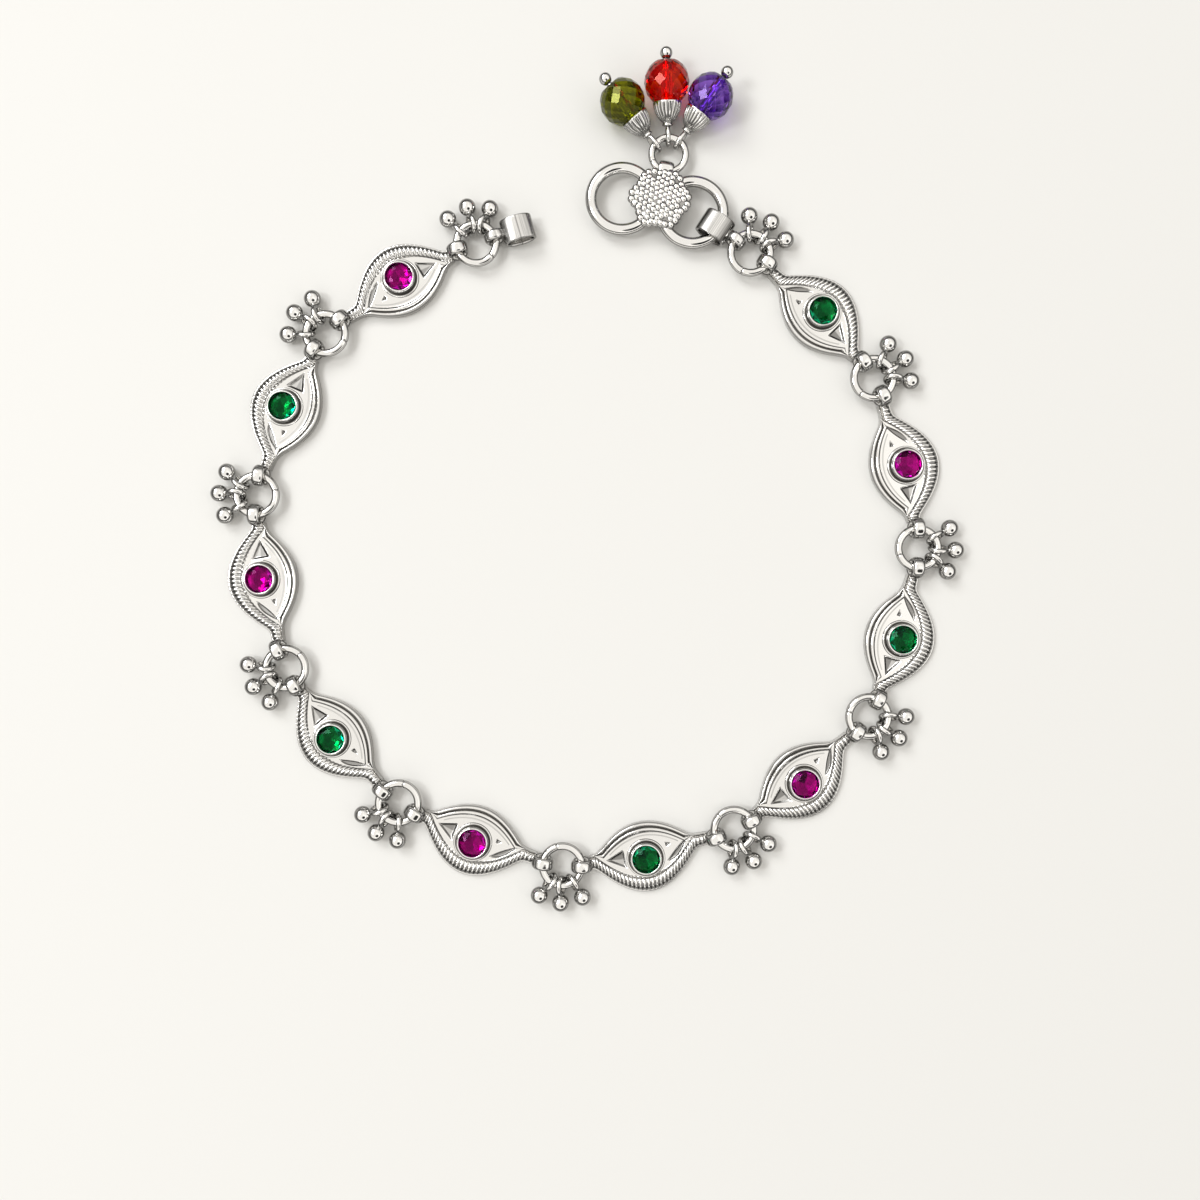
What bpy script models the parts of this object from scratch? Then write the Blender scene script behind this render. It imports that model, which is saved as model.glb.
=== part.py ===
"""A silver payal anklet that lies open on a flat surface.

Ten cast eye-shaped links with a stone each hang together by round jump rings. Every jump ring
carries three ball drops. One end of the chain has a folded strap on a double-ring clasp with a
flower plate and three crystal charms, the other end has a folded strap that is free.

Metres, +Z up. The chain is laid out in plan from ring to ring, and an empty then brings the middle
of the model's footprint to the origin, with the surface that it lies on at z = 0.
"""

import math

import bmesh
import bpy
from mathutils import Matrix, Vector

# General fits
LINK_GAP = 0.00030
DROP_GAP = 0.00025
STONE_GAP = 0.00030
CHARM_GAP = 0.00020

# Jump rings
RING_WIRE = 0.00105
RING_OUTER = 0.00630
RING_SIDES = 10
RING_WIRE_SIDES = 5

# Eye links, with x along the chain and y towards the drops
EYE_LOOP_SPACING = 0.01830
EYE_BODY_SHIFT = 0.00057
EYE_OUTER_RISE = 0.00537
EYE_INNER_RISE = 0.00395
EYE_OUTER_REACH = 0.01494
EYE_INNER_REACH = 0.01420
EYE_STONE_OFFSET = 0.00087
EYE_FIELD_HEIGHT = 0.00085
EYE_RIB_HEIGHT = 0.00130
EYE_RIB_DEPTH = 0.00030
EYE_RIB_BAND = 0.00175
EYE_RIB_SPACING = 0.00175
EYE_RIM_HEIGHT = 0.00125
EYE_RIM_WIDTH = 0.00120
EYE_BAND_LIMIT = 0.38
NECK_WIDTH = 0.00160
LOOP_WIDTH = 0.00150
LOOP_WALL = 0.00065
LOOP_SIDES = 10
LOOP_TURN = math.radians(13)

# Stones and their bezels
STONE_DIAMETER = 0.00350
STONE_TABLE = 0.00210
STONE_CROWN = 0.00055
STONE_PAVILION = 0.00090
STONE_SIDES = 10
BEZEL_WALL = 0.00045
BEZEL_HEIGHT = 0.00185
BEZEL_SIDES = 10

# Ball drops
BALL_DIAMETER = 0.00233
BALL_REACH = 0.00505
BALL_LIFT = 0.00005
BALL_SIDES = 10
BALL_ROWS = 4
DROP_EYE_WIRE = 0.00050
DROP_EYE_SIDES = 10
DROP_EYE_STRETCH = 0.00030
DROP_SPREAD = math.radians(35)

# Folded straps
STRAP_WIDTH = 0.00320
STRAP_LENGTH = 0.00440
STRAP_WALL = 0.00045
STRAP_OVERLAP = 0.00045
STRAP_SIDES = 4
STRAP_LOOP_WIDTH = 0.00130

# Double-ring clasp
CLASP_RING_OUTER = 0.00980
CLASP_WIRE = 0.00155
CLASP_RING_SIDES = 14
CLASP_WIRE_SIDES = 6
CLASP_OVERLAP = 0.00023
CLASP_STRAP_INSET = 0.00050
FLOWER_RADIUS = 0.00400
FLOWER_LOBES = 6
FLOWER_LOBE_DEPTH = 0.00035
FLOWER_SEAT = 0.00030
FLOWER_THICKNESS = 0.00085
FLOWER_GRAIN = 0.00025
FLOWER_ROWS = 2
FLOWER_SPOKES = 18
FLOWER_SHIFT_ALONG = 0.00020
FLOWER_SHIFT_OUT = 0.00075
BAIL_WIDTH = 0.00200
BAIL_WALL = 0.00040

# Charms
CHARM_RING_OUTER = 0.00550
CHARM_RING_WIRE = 0.00095
CHARM_REACH = 0.00660
CRYSTAL_DIAMETER = 0.00600
CRYSTAL_END = 0.00255
CRYSTAL_SIDES = 10
PIN_WIRE = 0.00060
PIN_HEAD = 0.00165
PIN_EYE_SIDES = 10
CAP_DIAMETER = 0.00380
CAP_LENGTH = 0.00235
CAP_NECK = 0.00130
CAP_COLLAR = 0.00030
CAP_SIDES = 10

# The route of the chain, clasp end first: the heading of each eye link in degrees, and how far the
# drops of each ring swing from straight outward
LINK_HEADINGS = (-45.5, -75.3, -106.4, -140.1, -168.0, -201.0, -230.1, -260.4, -293.2, -329.1)
DROP_SWINGS = (12, 2, -2, -2, 6, 2, -1, 5, 4, 7, -17)

# Where the straps sit on the end rings and where they point, and where the clasp lies
CLASP_STRAP_SEAT = math.radians(140)
CLASP_STRAP_HEADING = math.radians(147)
END_STRAP_SEAT = math.radians(20)
END_STRAP_HEADING = math.radians(16)
CLASP_HEADING = math.radians(169)
CHARM_RING_HEADING = math.radians(79)

# The charms on their ring: colour name, place on the ring and heading, in degrees
CHARMS = (
    ("olive", 145, 131),
    ("red", 93, 92),
    ("purple", 50, 53),
)

# What follows from the sizes above
RING_RADIUS = (RING_OUTER - RING_WIRE) / 2
LOOP_BORE = RING_WIRE / 2 + LINK_GAP
LOOP_RADIUS = LOOP_BORE + LOOP_WALL
RING_HEIGHT = LOOP_RADIUS
DROP_EYE_RADIUS = RING_WIRE / 2 + DROP_GAP + DROP_EYE_WIRE / 2
CLASP_RADIUS = (CLASP_RING_OUTER - CLASP_WIRE) / 2
CLASP_HEIGHT = CLASP_WIRE / 2 + LINK_GAP + STRAP_WALL
STRAP_REACH = LOOP_RADIUS - STRAP_OVERLAP + STRAP_LENGTH / 2
FLOWER_BASE = CLASP_HEIGHT + CLASP_WIRE / 2 - FLOWER_SEAT
CHARM_RING_RADIUS = (CHARM_RING_OUTER - CHARM_RING_WIRE) / 2
BAIL_BOW = CHARM_RING_RADIUS - math.sqrt(CHARM_RING_RADIUS**2 - (BAIL_WIDTH / 2)**2)
BAIL_BORE = (CHARM_RING_WIRE + BAIL_BOW) / 2 + CHARM_GAP
CHARM_RING_HEIGHT = FLOWER_BASE - CHARM_GAP - CHARM_RING_WIRE / 2
PIN_EYE_RADIUS = CHARM_RING_WIRE / 2 + CHARM_GAP + PIN_WIRE / 2
PIN_BORE = PIN_WIRE / 2 + CHARM_GAP

# Base colour, roughness and metallic value of each material, and how much light passes through it
SILVER = ("silver", (0.86, 0.85, 0.83), 0.16, 1.0, 0.0)
GREEN = ("green_stone", (0.0, 0.24, 0.08), 0.05, 0.0, 0.6)
MAGENTA = ("magenta_stone", (0.55, 0.0, 0.34), 0.05, 0.0, 0.6)
CRYSTALS = {
    "olive": ("olive_crystal", (0.20, 0.24, 0.01), 0.04, 0.0, 0.8),
    "red": ("red_crystal", (0.80, 0.04, 0.0), 0.04, 0.0, 0.8),
    "purple": ("purple_crystal", (0.16, 0.05, 0.45), 0.04, 0.0, 0.8),
}

TURN_TO_X = Matrix.Rotation(math.radians(90), 4, "Y")
TURN_TO_Y = Matrix.Rotation(math.radians(90), 4, "X")


def material(settings):
    """Return the named Principled material, made on first use."""
    name, colour, roughness, metallic, transmission = settings
    found = bpy.data.materials.get(name)
    if found:
        return found
    made = bpy.data.materials.new(name)
    made.use_nodes = True
    shader = made.node_tree.nodes["Principled BSDF"]
    shader.inputs["Base Color"].default_value = (*colour, 1)
    shader.inputs["Roughness"].default_value = roughness
    shader.inputs["Metallic"].default_value = metallic
    shader.inputs["Transmission Weight"].default_value = transmission
    return made


def keep(shape, name):
    """Turn a bmesh into a loose object that the Booleans can use."""
    mesh = bpy.data.meshes.new(name)
    shape.to_mesh(mesh)
    shape.free()
    made = bpy.data.objects.new(name, mesh)
    bpy.context.scene.collection.objects.link(made)
    return made


def baked(source):
    """Replace an object's modifiers by the mesh that they make."""
    graph = bpy.context.evaluated_depsgraph_get()
    mesh = bpy.data.meshes.new_from_object(source.evaluated_get(graph))
    source.modifiers.clear()
    source.data = mesh
    return source


def combined(target, tool, operation):
    """Join or cut target with tool by an exact Boolean, and remove the tool."""
    step = target.modifiers.new("combine", "BOOLEAN")
    step.operation = operation
    step.solver = "EXACT"
    step.object = tool
    bpy.context.view_layer.update()
    baked(target)
    bpy.data.objects.remove(tool)
    return target


def cylinder(name, radius, length, sides, place):
    """A capped cylinder about the z axis, then placed."""
    shape = bmesh.new()
    bmesh.ops.create_cone(shape, cap_ends=True, segments=sides, radius1=radius, radius2=radius,
                          depth=length, matrix=place)
    return keep(shape, name)


def ball(name, radius, sides, rows, place):
    """A ball with its poles on the z axis, then placed."""
    shape = bmesh.new()
    bmesh.ops.create_uvsphere(shape, u_segments=sides, v_segments=rows, radius=radius, matrix=place)
    return keep(shape, name)


def wire_ring(name, radius, wire, sides, wire_sides, place=Matrix()):
    """A ring of round wire about the z axis, then placed."""
    bpy.ops.mesh.primitive_torus_add(major_radius=radius, minor_radius=wire / 2,
                                     major_segments=sides, minor_segments=wire_sides)
    made = bpy.context.object
    made.name = name
    made.data.transform(place)
    return made


def turned(name, profile, sides, closed=False):
    """Turn a profile of (radius, height) points, from its top down its outer side, about z."""
    edges = [(step, step + 1) for step in range(len(profile) - 1)]
    if closed:
        edges.append((len(profile) - 1, 0))
    mesh = bpy.data.meshes.new(name)
    mesh.from_pydata([(radius, 0, height) for radius, height in profile], edges, [])
    made = bpy.data.objects.new(name, mesh)
    bpy.context.scene.collection.objects.link(made)
    screw = made.modifiers.new("turn", "SCREW")
    screw.steps = sides
    screw.render_steps = sides
    screw.use_merge_vertices = True
    screw.merge_threshold = 0.00001
    bpy.context.view_layer.update()
    return baked(made)


def lofted(name, sections):
    """Join equal rings of points into one closed solid, with a flat face at each end."""
    shape = bmesh.new()
    rings = [[shape.verts.new(point) for point in section] for section in sections]
    for first, second in zip(rings, rings[1:]):
        for index in range(len(first)):
            after = (index + 1) % len(first)
            shape.faces.new((first[index], first[after], second[after], second[index]))
    shape.faces.new(rings[0])
    shape.faces.new(rings[-1])
    bmesh.ops.recalc_face_normals(shape, faces=shape.faces)
    return keep(shape, name)


def add_loop(target, width, bore, wall, place):
    """Join a rolled loop about the y axis to target, and cut its bore through both."""
    outside = cylinder("loop", bore + wall, width, LOOP_SIDES, place @ TURN_TO_Y)
    combined(target, outside, "UNION")
    hole = cylinder("bore", bore, width * 2, LOOP_SIDES, place @ TURN_TO_Y)
    combined(target, hole, "DIFFERENCE")


def eye_section(along, on_rib):
    """The cross-section of an eye link at a place along it, from the ribbed edge to the smooth one."""
    place = along - EYE_BODY_SHIFT
    outer = EYE_OUTER_RISE * (1 - (2 * place / EYE_OUTER_REACH) ** 2)
    inner = EYE_INNER_RISE * (1 - (2 * place / EYE_INNER_REACH) ** 2)
    outer = max(outer, NECK_WIDTH / 2)
    inner = max(inner, NECK_WIDTH / 2)
    width = outer + inner
    rib_band = min(EYE_RIB_BAND, EYE_BAND_LIMIT * width)
    rim_band = min(EYE_RIM_WIDTH, EYE_BAND_LIMIT * width)
    rib_top = EYE_RIB_HEIGHT if on_rib else EYE_RIB_HEIGHT - EYE_RIB_DEPTH
    return (
        (along, outer, 0),
        (along, outer, rib_top - EYE_RIB_DEPTH),
        (along, outer - rib_band / 2, rib_top),
        (along, outer - rib_band, EYE_FIELD_HEIGHT),
        (along, rim_band - inner, EYE_FIELD_HEIGHT),
        (along, rim_band / 2 - inner, EYE_RIM_HEIGHT),
        (along, -inner, 0),
    )


def eye_link_mesh():
    """One cast eye link: ribbed plate and necks, bezel with its seat, and an end loop at each end."""
    neck_end = EYE_LOOP_SPACING / 2 - LOOP_RADIUS + LOOP_WALL / 2
    stations = 2 * round(neck_end / EYE_RIB_SPACING * 2)
    sections = []
    for station in range(stations + 1):
        along = neck_end * (2 * station / stations - 1)
        sections.append(eye_section(along, station % 2 == 1))
    link = lofted("eye_link", sections)
    seat = Matrix.Translation((EYE_BODY_SHIFT, EYE_STONE_OFFSET, 0))
    seat_radius = STONE_DIAMETER / 2 + STONE_GAP
    seat_depth = STONE_PAVILION + STONE_GAP
    bezel_low = EYE_FIELD_HEIGHT / 2
    bezel = cylinder("bezel", seat_radius + BEZEL_WALL, BEZEL_HEIGHT - bezel_low, BEZEL_SIDES,
                     seat @ Matrix.Translation((0, 0, (BEZEL_HEIGHT + bezel_low) / 2)))
    combined(link, bezel, "UNION")
    bore = cylinder("seat", seat_radius, seat_depth * 2, BEZEL_SIDES,
                    seat @ Matrix.Translation((0, 0, BEZEL_HEIGHT)))
    combined(link, bore, "DIFFERENCE")
    for side in (-1, 1):
        spot = (Matrix.Translation((side * EYE_LOOP_SPACING / 2, 0, RING_HEIGHT))
                @ Matrix.Rotation(-side * LOOP_TURN, 4, "Z"))
        add_loop(link, LOOP_WIDTH, LOOP_BORE, LOOP_WALL, spot)
    return released(link)


def released(source):
    """Hand over an object's mesh and remove the object."""
    mesh = source.data
    bpy.data.objects.remove(source)
    return mesh


def stone_mesh():
    """A round stone with a flat table, a crown and a pavilion, its girdle at z = 0."""
    girdle = STONE_DIAMETER / 2
    profile = ((0, STONE_CROWN), (STONE_TABLE / 2, STONE_CROWN), (girdle, 0), (0, -STONE_PAVILION))
    return released(turned("stone", profile, STONE_SIDES))


def drop_cluster_mesh():
    """Three ball drops on wire eyes, with the ring's centre at the origin and +x outward."""
    cluster = None
    for place in (-1, 0, 1):
        swing = Matrix.Rotation(place * DROP_SPREAD, 4, "Z")
        eye = wire_ring("drop_eye", DROP_EYE_RADIUS, DROP_EYE_WIRE, DROP_EYE_SIDES, 5)
        for vertex in eye.data.vertices:
            if vertex.co.x > 0:
                vertex.co.x += DROP_EYE_STRETCH
        eye.data.transform(swing @ Matrix.Translation((RING_RADIUS, 0, RING_HEIGHT)) @ TURN_TO_Y)
        ball_spot = swing @ Matrix.Translation((BALL_REACH, 0, BALL_DIAMETER / 2 + BALL_LIFT))
        drop = ball("drop_ball", BALL_DIAMETER / 2, BALL_SIDES, BALL_ROWS, ball_spot)
        combined(eye, drop, "UNION")
        cluster = eye if cluster is None else combined(cluster, eye, "UNION")
    bridge_radius = RING_RADIUS - DROP_EYE_RADIUS
    points = []
    for place in (-1, 0, 1):
        angle = place * DROP_SPREAD
        points.append((bridge_radius * math.cos(angle), bridge_radius * math.sin(angle), RING_HEIGHT))
    combined(cluster, wire_path("bridge", points, DROP_EYE_WIRE * 0.7), "UNION")
    return released(cluster)


def wire_path(name, points, wire):
    """A straight-sided wire through points, as a capped mesh."""
    curve = bpy.data.curves.new(name, "CURVE")
    curve.dimensions = "3D"
    curve.bevel_depth = wire / 2
    curve.bevel_resolution = 0
    curve.use_fill_caps = True
    spline = curve.splines.new("POLY")
    spline.points.add(len(points) - 1)
    for spot, point in zip(spline.points, points):
        spot.co = (*point, 1)
    source = bpy.data.objects.new(name, curve)
    bpy.context.scene.collection.objects.link(source)
    bpy.context.view_layer.update()
    graph = bpy.context.evaluated_depsgraph_get()
    mesh = bpy.data.meshes.new_from_object(source.evaluated_get(graph))
    bpy.data.objects.remove(source)
    shape = bmesh.new()
    shape.from_mesh(mesh)
    bmesh.ops.remove_doubles(shape, verts=shape.verts, dist=0.000001)
    bmesh.ops.recalc_face_normals(shape, faces=shape.faces)
    return keep(shape, name)


def slot_outline(length, height, side):
    """Points round a slot shape in the x-z plane, moved to one side along y."""
    radius = height / 2
    points = []
    for end in (1, -1):
        for step in range(STRAP_SIDES):
            angle = math.pi * (step / (STRAP_SIDES - 1) - 0.5)
            points.append((end * (length / 2 - radius + radius * math.cos(angle)), side,
                           end * radius * math.sin(angle)))
    return points


def strap_mesh(seat_turn):
    """A folded strap: a small loop at the origin and a wide slot loop along +x from it."""
    height = 2 * CLASP_HEIGHT
    placed = Matrix.Translation((STRAP_REACH, 0, CLASP_HEIGHT))
    band = lofted("strap", [slot_outline(STRAP_LENGTH, height, side)
                            for side in (-STRAP_WIDTH / 2, STRAP_WIDTH / 2)])
    band.data.transform(placed)
    spot = Matrix.Translation((0, 0, RING_HEIGHT)) @ Matrix.Rotation(seat_turn, 4, "Z")
    add_loop(band, STRAP_LOOP_WIDTH, LOOP_BORE, LOOP_WALL, spot)
    slot = lofted("slot", [slot_outline(STRAP_LENGTH - 2 * STRAP_WALL, height - 2 * STRAP_WALL, side)
                           for side in (-STRAP_WIDTH, STRAP_WIDTH)])
    slot.data.transform(placed)
    combined(band, slot, "DIFFERENCE")
    return released(band)


def flower_plate(place):
    """A lobed plate whose top is raised in a grain of small points."""
    shape = bmesh.new()

    def edge(share, spoke, height):
        angle = 2 * math.pi * spoke / FLOWER_SPOKES
        lobe = FLOWER_LOBE_DEPTH * (1 - math.cos(FLOWER_LOBES * angle)) / 2
        radius = share * (FLOWER_RADIUS - lobe)
        return shape.verts.new((radius * math.cos(angle), radius * math.sin(angle), height))

    rows = [[edge(1, spoke, 0) for spoke in range(FLOWER_SPOKES)]]
    for row in range(FLOWER_ROWS):
        share = 1 - row / FLOWER_ROWS
        rows.append([edge(share, spoke, FLOWER_THICKNESS + FLOWER_GRAIN * ((row + spoke) % 2))
                     for spoke in range(FLOWER_SPOKES)])
    for lower, upper in zip(rows, rows[1:]):
        for spoke in range(FLOWER_SPOKES):
            after = (spoke + 1) % FLOWER_SPOKES
            shape.faces.new((lower[spoke], lower[after], upper[after]))
            shape.faces.new((lower[spoke], upper[after], upper[spoke]))
    shape.faces.new(rows[0])
    crown = shape.verts.new((0, 0, FLOWER_THICKNESS + FLOWER_GRAIN))
    for spoke in range(FLOWER_SPOKES):
        shape.faces.new((rows[-1][spoke], rows[-1][(spoke + 1) % FLOWER_SPOKES], crown))
    bmesh.ops.recalc_face_normals(shape, faces=shape.faces)
    shape.transform(place)
    return keep(shape, "flower")


def polar(distance, angle, height=0):
    """A vector in plan from a distance and an angle."""
    return Vector((distance * math.cos(angle), distance * math.sin(angle), height))


def clasp_mesh():
    """Two large rings, the flower plate and the bail as one piece, with the strap's ring at the origin."""
    spacing = CLASP_RING_OUTER - CLASP_OVERLAP
    lift = Matrix.Translation((0, 0, CLASP_HEIGHT))
    clasp = wire_ring("clasp", CLASP_RADIUS, CLASP_WIRE, CLASP_RING_SIDES, CLASP_WIRE_SIDES, lift)
    far = Matrix.Translation(polar(spacing, CLASP_HEADING)) @ lift
    far_ring = wire_ring("far_ring", CLASP_RADIUS, CLASP_WIRE, CLASP_RING_SIDES, CLASP_WIRE_SIDES, far)
    combined(clasp, far_ring, "UNION")
    middle = flower_centre()
    flower = flower_plate(Matrix.Translation((middle.x, middle.y, FLOWER_BASE)))
    combined(clasp, flower, "UNION")
    bail_centre = middle + polar(bail_reach(), CHARM_RING_HEADING, CHARM_RING_HEIGHT)
    spot = Matrix.Translation(bail_centre) @ Matrix.Rotation(CHARM_RING_HEADING, 4, "Z")
    add_loop(clasp, BAIL_WIDTH, BAIL_BORE, BAIL_WALL, spot)
    return released(clasp)


def flower_centre():
    """The flower plate's centre in plan, seen from the strap's clasp ring."""
    spacing = CLASP_RING_OUTER - CLASP_OVERLAP
    across = CLASP_HEADING - math.pi / 2
    return polar(spacing / 2 - FLOWER_SHIFT_ALONG, CLASP_HEADING) + polar(FLOWER_SHIFT_OUT, across)


def bail_reach():
    """How far the bail's bore lies from the flower's centre, with its back under the plate."""
    return FLOWER_RADIUS + BAIL_WALL / 3


def crystal_mesh():
    """A drilled round crystal along x, in bands of facets between two flat ends."""
    radius = CRYSTAL_DIAMETER / 2
    top = math.asin(CRYSTAL_END / radius)
    bands = 4
    profile = []
    for band in range(bands + 1):
        angle = top * (1 - 2 * band / bands)
        profile.append((radius * math.cos(angle), radius * math.sin(angle)))
    profile.append((PIN_BORE, -CRYSTAL_END))
    profile.append((PIN_BORE, CRYSTAL_END))
    mesh = released(turned("crystal", profile, CRYSTAL_SIDES, closed=True))
    mesh.transform(TURN_TO_X)
    return mesh


def cap_mesh():
    """A bell-shaped bead cap along x, wide end towards +x, with a collar at its narrow end."""
    wide = CAP_DIAMETER / 2
    neck = CAP_NECK / 2
    middle = neck + (wide - neck) * 0.72
    mouth = CAP_LENGTH
    profile = (
        (PIN_BORE, mouth),
        (wide, mouth),
        (middle, mouth * 0.45),
        (neck, 0),
        (neck, -CAP_COLLAR),
        (PIN_BORE, -CAP_COLLAR),
    )
    mesh = released(turned("cap", profile, CAP_SIDES, closed=True))
    mesh.transform(TURN_TO_X)
    return mesh


def pin_mesh(length):
    """A head pin along x: its eye round the charm ring at the origin, its ball head past the bead."""
    head_place = length + CRYSTAL_END + CHARM_GAP + PIN_HEAD / 2
    pin = wire_ring("pin", PIN_EYE_RADIUS, PIN_WIRE, PIN_EYE_SIDES, 5, TURN_TO_Y)
    start = PIN_EYE_RADIUS
    wire = cylinder("wire", PIN_WIRE / 2, head_place - start, 6,
                    Matrix.Translation(((head_place + start) / 2, 0, 0)) @ TURN_TO_X)
    combined(pin, wire, "UNION")
    head = ball("head", PIN_HEAD / 2, 8, 4, Matrix.Translation((head_place, 0, 0)) @ TURN_TO_X)
    combined(pin, head, "UNION")
    return released(pin)


def put(name, mesh, settings, location, heading=0, slope=0):
    """Place one named piece of the anklet."""
    made = bpy.data.objects.new(name, mesh)
    if not mesh.materials:
        mesh.materials.append(material(settings))
    made.location = location
    made.rotation_euler = (0, -slope, heading)
    made.parent = anklet_origin
    pieces.objects.link(made)
    return made


def ring_centres():
    """The plan place of every jump ring, walked link by link from the clasp end."""
    pitch = EYE_LOOP_SPACING + 2 * RING_RADIUS * math.cos(LOOP_TURN)
    centres = [Vector((0, 0, 0))]
    for degrees in LINK_HEADINGS:
        centres.append(centres[-1] + polar(pitch, math.radians(degrees)))
    return centres


def outward_headings():
    """The direction that faces out of the chain's curve at each jump ring."""
    headings = [math.radians(degrees) for degrees in LINK_HEADINGS]
    before = [headings[0]] + headings
    after = headings + [headings[-1]]
    return [(first + second) / 2 + math.pi / 2 for first, second in zip(before, after)]


def place_chain(centres):
    """The jump rings, their drops, the eye links and the stones."""
    ring = released(wire_ring("jump_ring", RING_RADIUS, RING_WIRE, RING_SIDES, RING_WIRE_SIDES))
    cluster = drop_cluster_mesh()
    for index, (centre, outward) in enumerate(zip(centres, outward_headings())):
        level = centre + Vector((0, 0, RING_HEIGHT))
        put(f"jump_ring_{index:02d}", ring, SILVER, level, outward)
        swing = outward + math.radians(DROP_SWINGS[index])
        put(f"ghungroo_cluster_{index:02d}", cluster, SILVER, centre, swing)
    link = eye_link_mesh()
    green = stone_mesh()
    magenta = green.copy()
    girdle_height = BEZEL_HEIGHT - STONE_GAP / 2
    for index, degrees in enumerate(LINK_HEADINGS):
        heading = math.radians(degrees)
        middle = (centres[index] + centres[index + 1]) / 2
        middle += polar(RING_RADIUS * math.sin(LOOP_TURN), heading + math.pi / 2)
        put(f"eye_link_{index + 1:02d}", link, SILVER, middle, heading)
        seat = middle + polar(EYE_BODY_SHIFT, heading) + polar(EYE_STONE_OFFSET, heading + math.pi / 2)
        seat.z = girdle_height
        first_colour = index % 2 == 0
        put(f"stone_{index + 1:02d}", green if first_colour else magenta,
            GREEN if first_colour else MAGENTA, seat, heading)


def place_straps(first_ring, last_ring):
    """The two folded straps; returns the centre of the clasp ring that the first one holds."""
    seats = (
        ("clasp_strap", first_ring, CLASP_STRAP_SEAT, CLASP_STRAP_HEADING),
        ("end_strap", last_ring, END_STRAP_SEAT, END_STRAP_HEADING),
    )
    for name, ring_centre, seat, heading in seats:
        spot = ring_centre + polar(RING_RADIUS, seat)
        put(name, strap_mesh(seat - heading), SILVER, spot, heading)
    hook = first_ring + polar(RING_RADIUS, CLASP_STRAP_SEAT)
    return hook + polar(STRAP_REACH - CLASP_STRAP_INSET + CLASP_RADIUS, CLASP_STRAP_HEADING)


def place_charms(ring_centre):
    """The three charms on the charm ring, each a pin through a crystal and its cap."""
    rise = CRYSTAL_DIAMETER / 2 - CHARM_RING_HEIGHT
    slope = math.atan2(rise, CHARM_REACH)
    length = math.hypot(rise, CHARM_REACH)
    pin = pin_mesh(length)
    cap = cap_mesh()
    crystal = crystal_mesh()
    cap_place = length - CRYSTAL_END - CHARM_GAP - CAP_LENGTH
    for name, seat, degrees in CHARMS:
        heading = math.radians(degrees)
        eye = ring_centre + polar(CHARM_RING_RADIUS, math.radians(seat))
        axis = polar(math.cos(slope), heading, math.sin(slope))
        put(f"head_pin_{name}", pin, SILVER, eye, heading, slope)
        put(f"bead_cap_{name}", cap, SILVER, eye + axis * cap_place, heading, slope)
        put(f"crystal_bead_{name}", crystal.copy(), CRYSTALS[name], eye + axis * length, heading, slope)


def settle():
    """Bring the middle of the footprint to the origin and the lowest point to z = 0."""
    bpy.context.view_layer.update()
    corners = [made.matrix_world @ vertex.co for made in pieces.objects if made.type == "MESH"
               for vertex in made.data.vertices]
    low = [min(corner[axis] for corner in corners) for axis in range(3)]
    high = [max(corner[axis] for corner in corners) for axis in range(3)]
    anklet_origin.location = (-(low[0] + high[0]) / 2, -(low[1] + high[1]) / 2, -low[2])
    bpy.context.view_layer.update()


for leftover in list(bpy.data.objects):
    bpy.data.objects.remove(leftover)

pieces = bpy.data.collections.new("payal_anklet")
bpy.context.scene.collection.children.link(pieces)
anklet_origin = bpy.data.objects.new("anklet_origin", None)
pieces.objects.link(anklet_origin)

rings = ring_centres()
place_chain(rings)
clasp_centre = place_straps(rings[0], rings[-1])
put("double_ring_clasp", clasp_mesh(), SILVER, clasp_centre)
charm_centre = clasp_centre + flower_centre()
charm_centre += polar(bail_reach() + CHARM_RING_RADIUS - BAIL_BOW / 2, CHARM_RING_HEADING,
                      CHARM_RING_HEIGHT)
charm_ring = released(wire_ring("charm_ring", CHARM_RING_RADIUS, CHARM_RING_WIRE, RING_SIDES,
                                RING_WIRE_SIDES))
put("charm_ring", charm_ring, SILVER, charm_centre)
place_charms(charm_centre)
settle()
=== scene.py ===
"""The finish of a silver payal anklet that lies open on a pale surface."""

import math

import bmesh
import bpy
import numpy as np
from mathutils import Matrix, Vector


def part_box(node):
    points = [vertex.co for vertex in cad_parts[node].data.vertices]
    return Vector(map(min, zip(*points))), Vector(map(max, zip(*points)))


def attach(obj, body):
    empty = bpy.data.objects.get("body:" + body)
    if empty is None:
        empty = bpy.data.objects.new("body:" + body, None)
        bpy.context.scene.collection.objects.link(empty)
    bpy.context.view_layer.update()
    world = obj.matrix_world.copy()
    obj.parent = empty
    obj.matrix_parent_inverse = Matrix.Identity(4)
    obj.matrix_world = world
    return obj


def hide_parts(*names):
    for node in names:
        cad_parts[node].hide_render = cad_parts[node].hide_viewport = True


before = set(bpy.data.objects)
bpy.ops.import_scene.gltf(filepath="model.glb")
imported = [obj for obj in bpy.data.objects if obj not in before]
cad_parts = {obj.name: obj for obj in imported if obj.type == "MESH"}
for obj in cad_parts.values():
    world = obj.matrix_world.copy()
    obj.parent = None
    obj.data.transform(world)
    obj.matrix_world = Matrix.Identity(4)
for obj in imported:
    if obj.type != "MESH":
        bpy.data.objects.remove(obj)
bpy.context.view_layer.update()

# The surface that the anklet lies on: matt, warm white card, laid flat far past the picture. It is
# stage and no part of the anklet.
CARD_SIZE = 3.0
CARD_DROP = 0.00002
CARD_COLOUR = (0.792, 0.782, 0.757)

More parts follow.
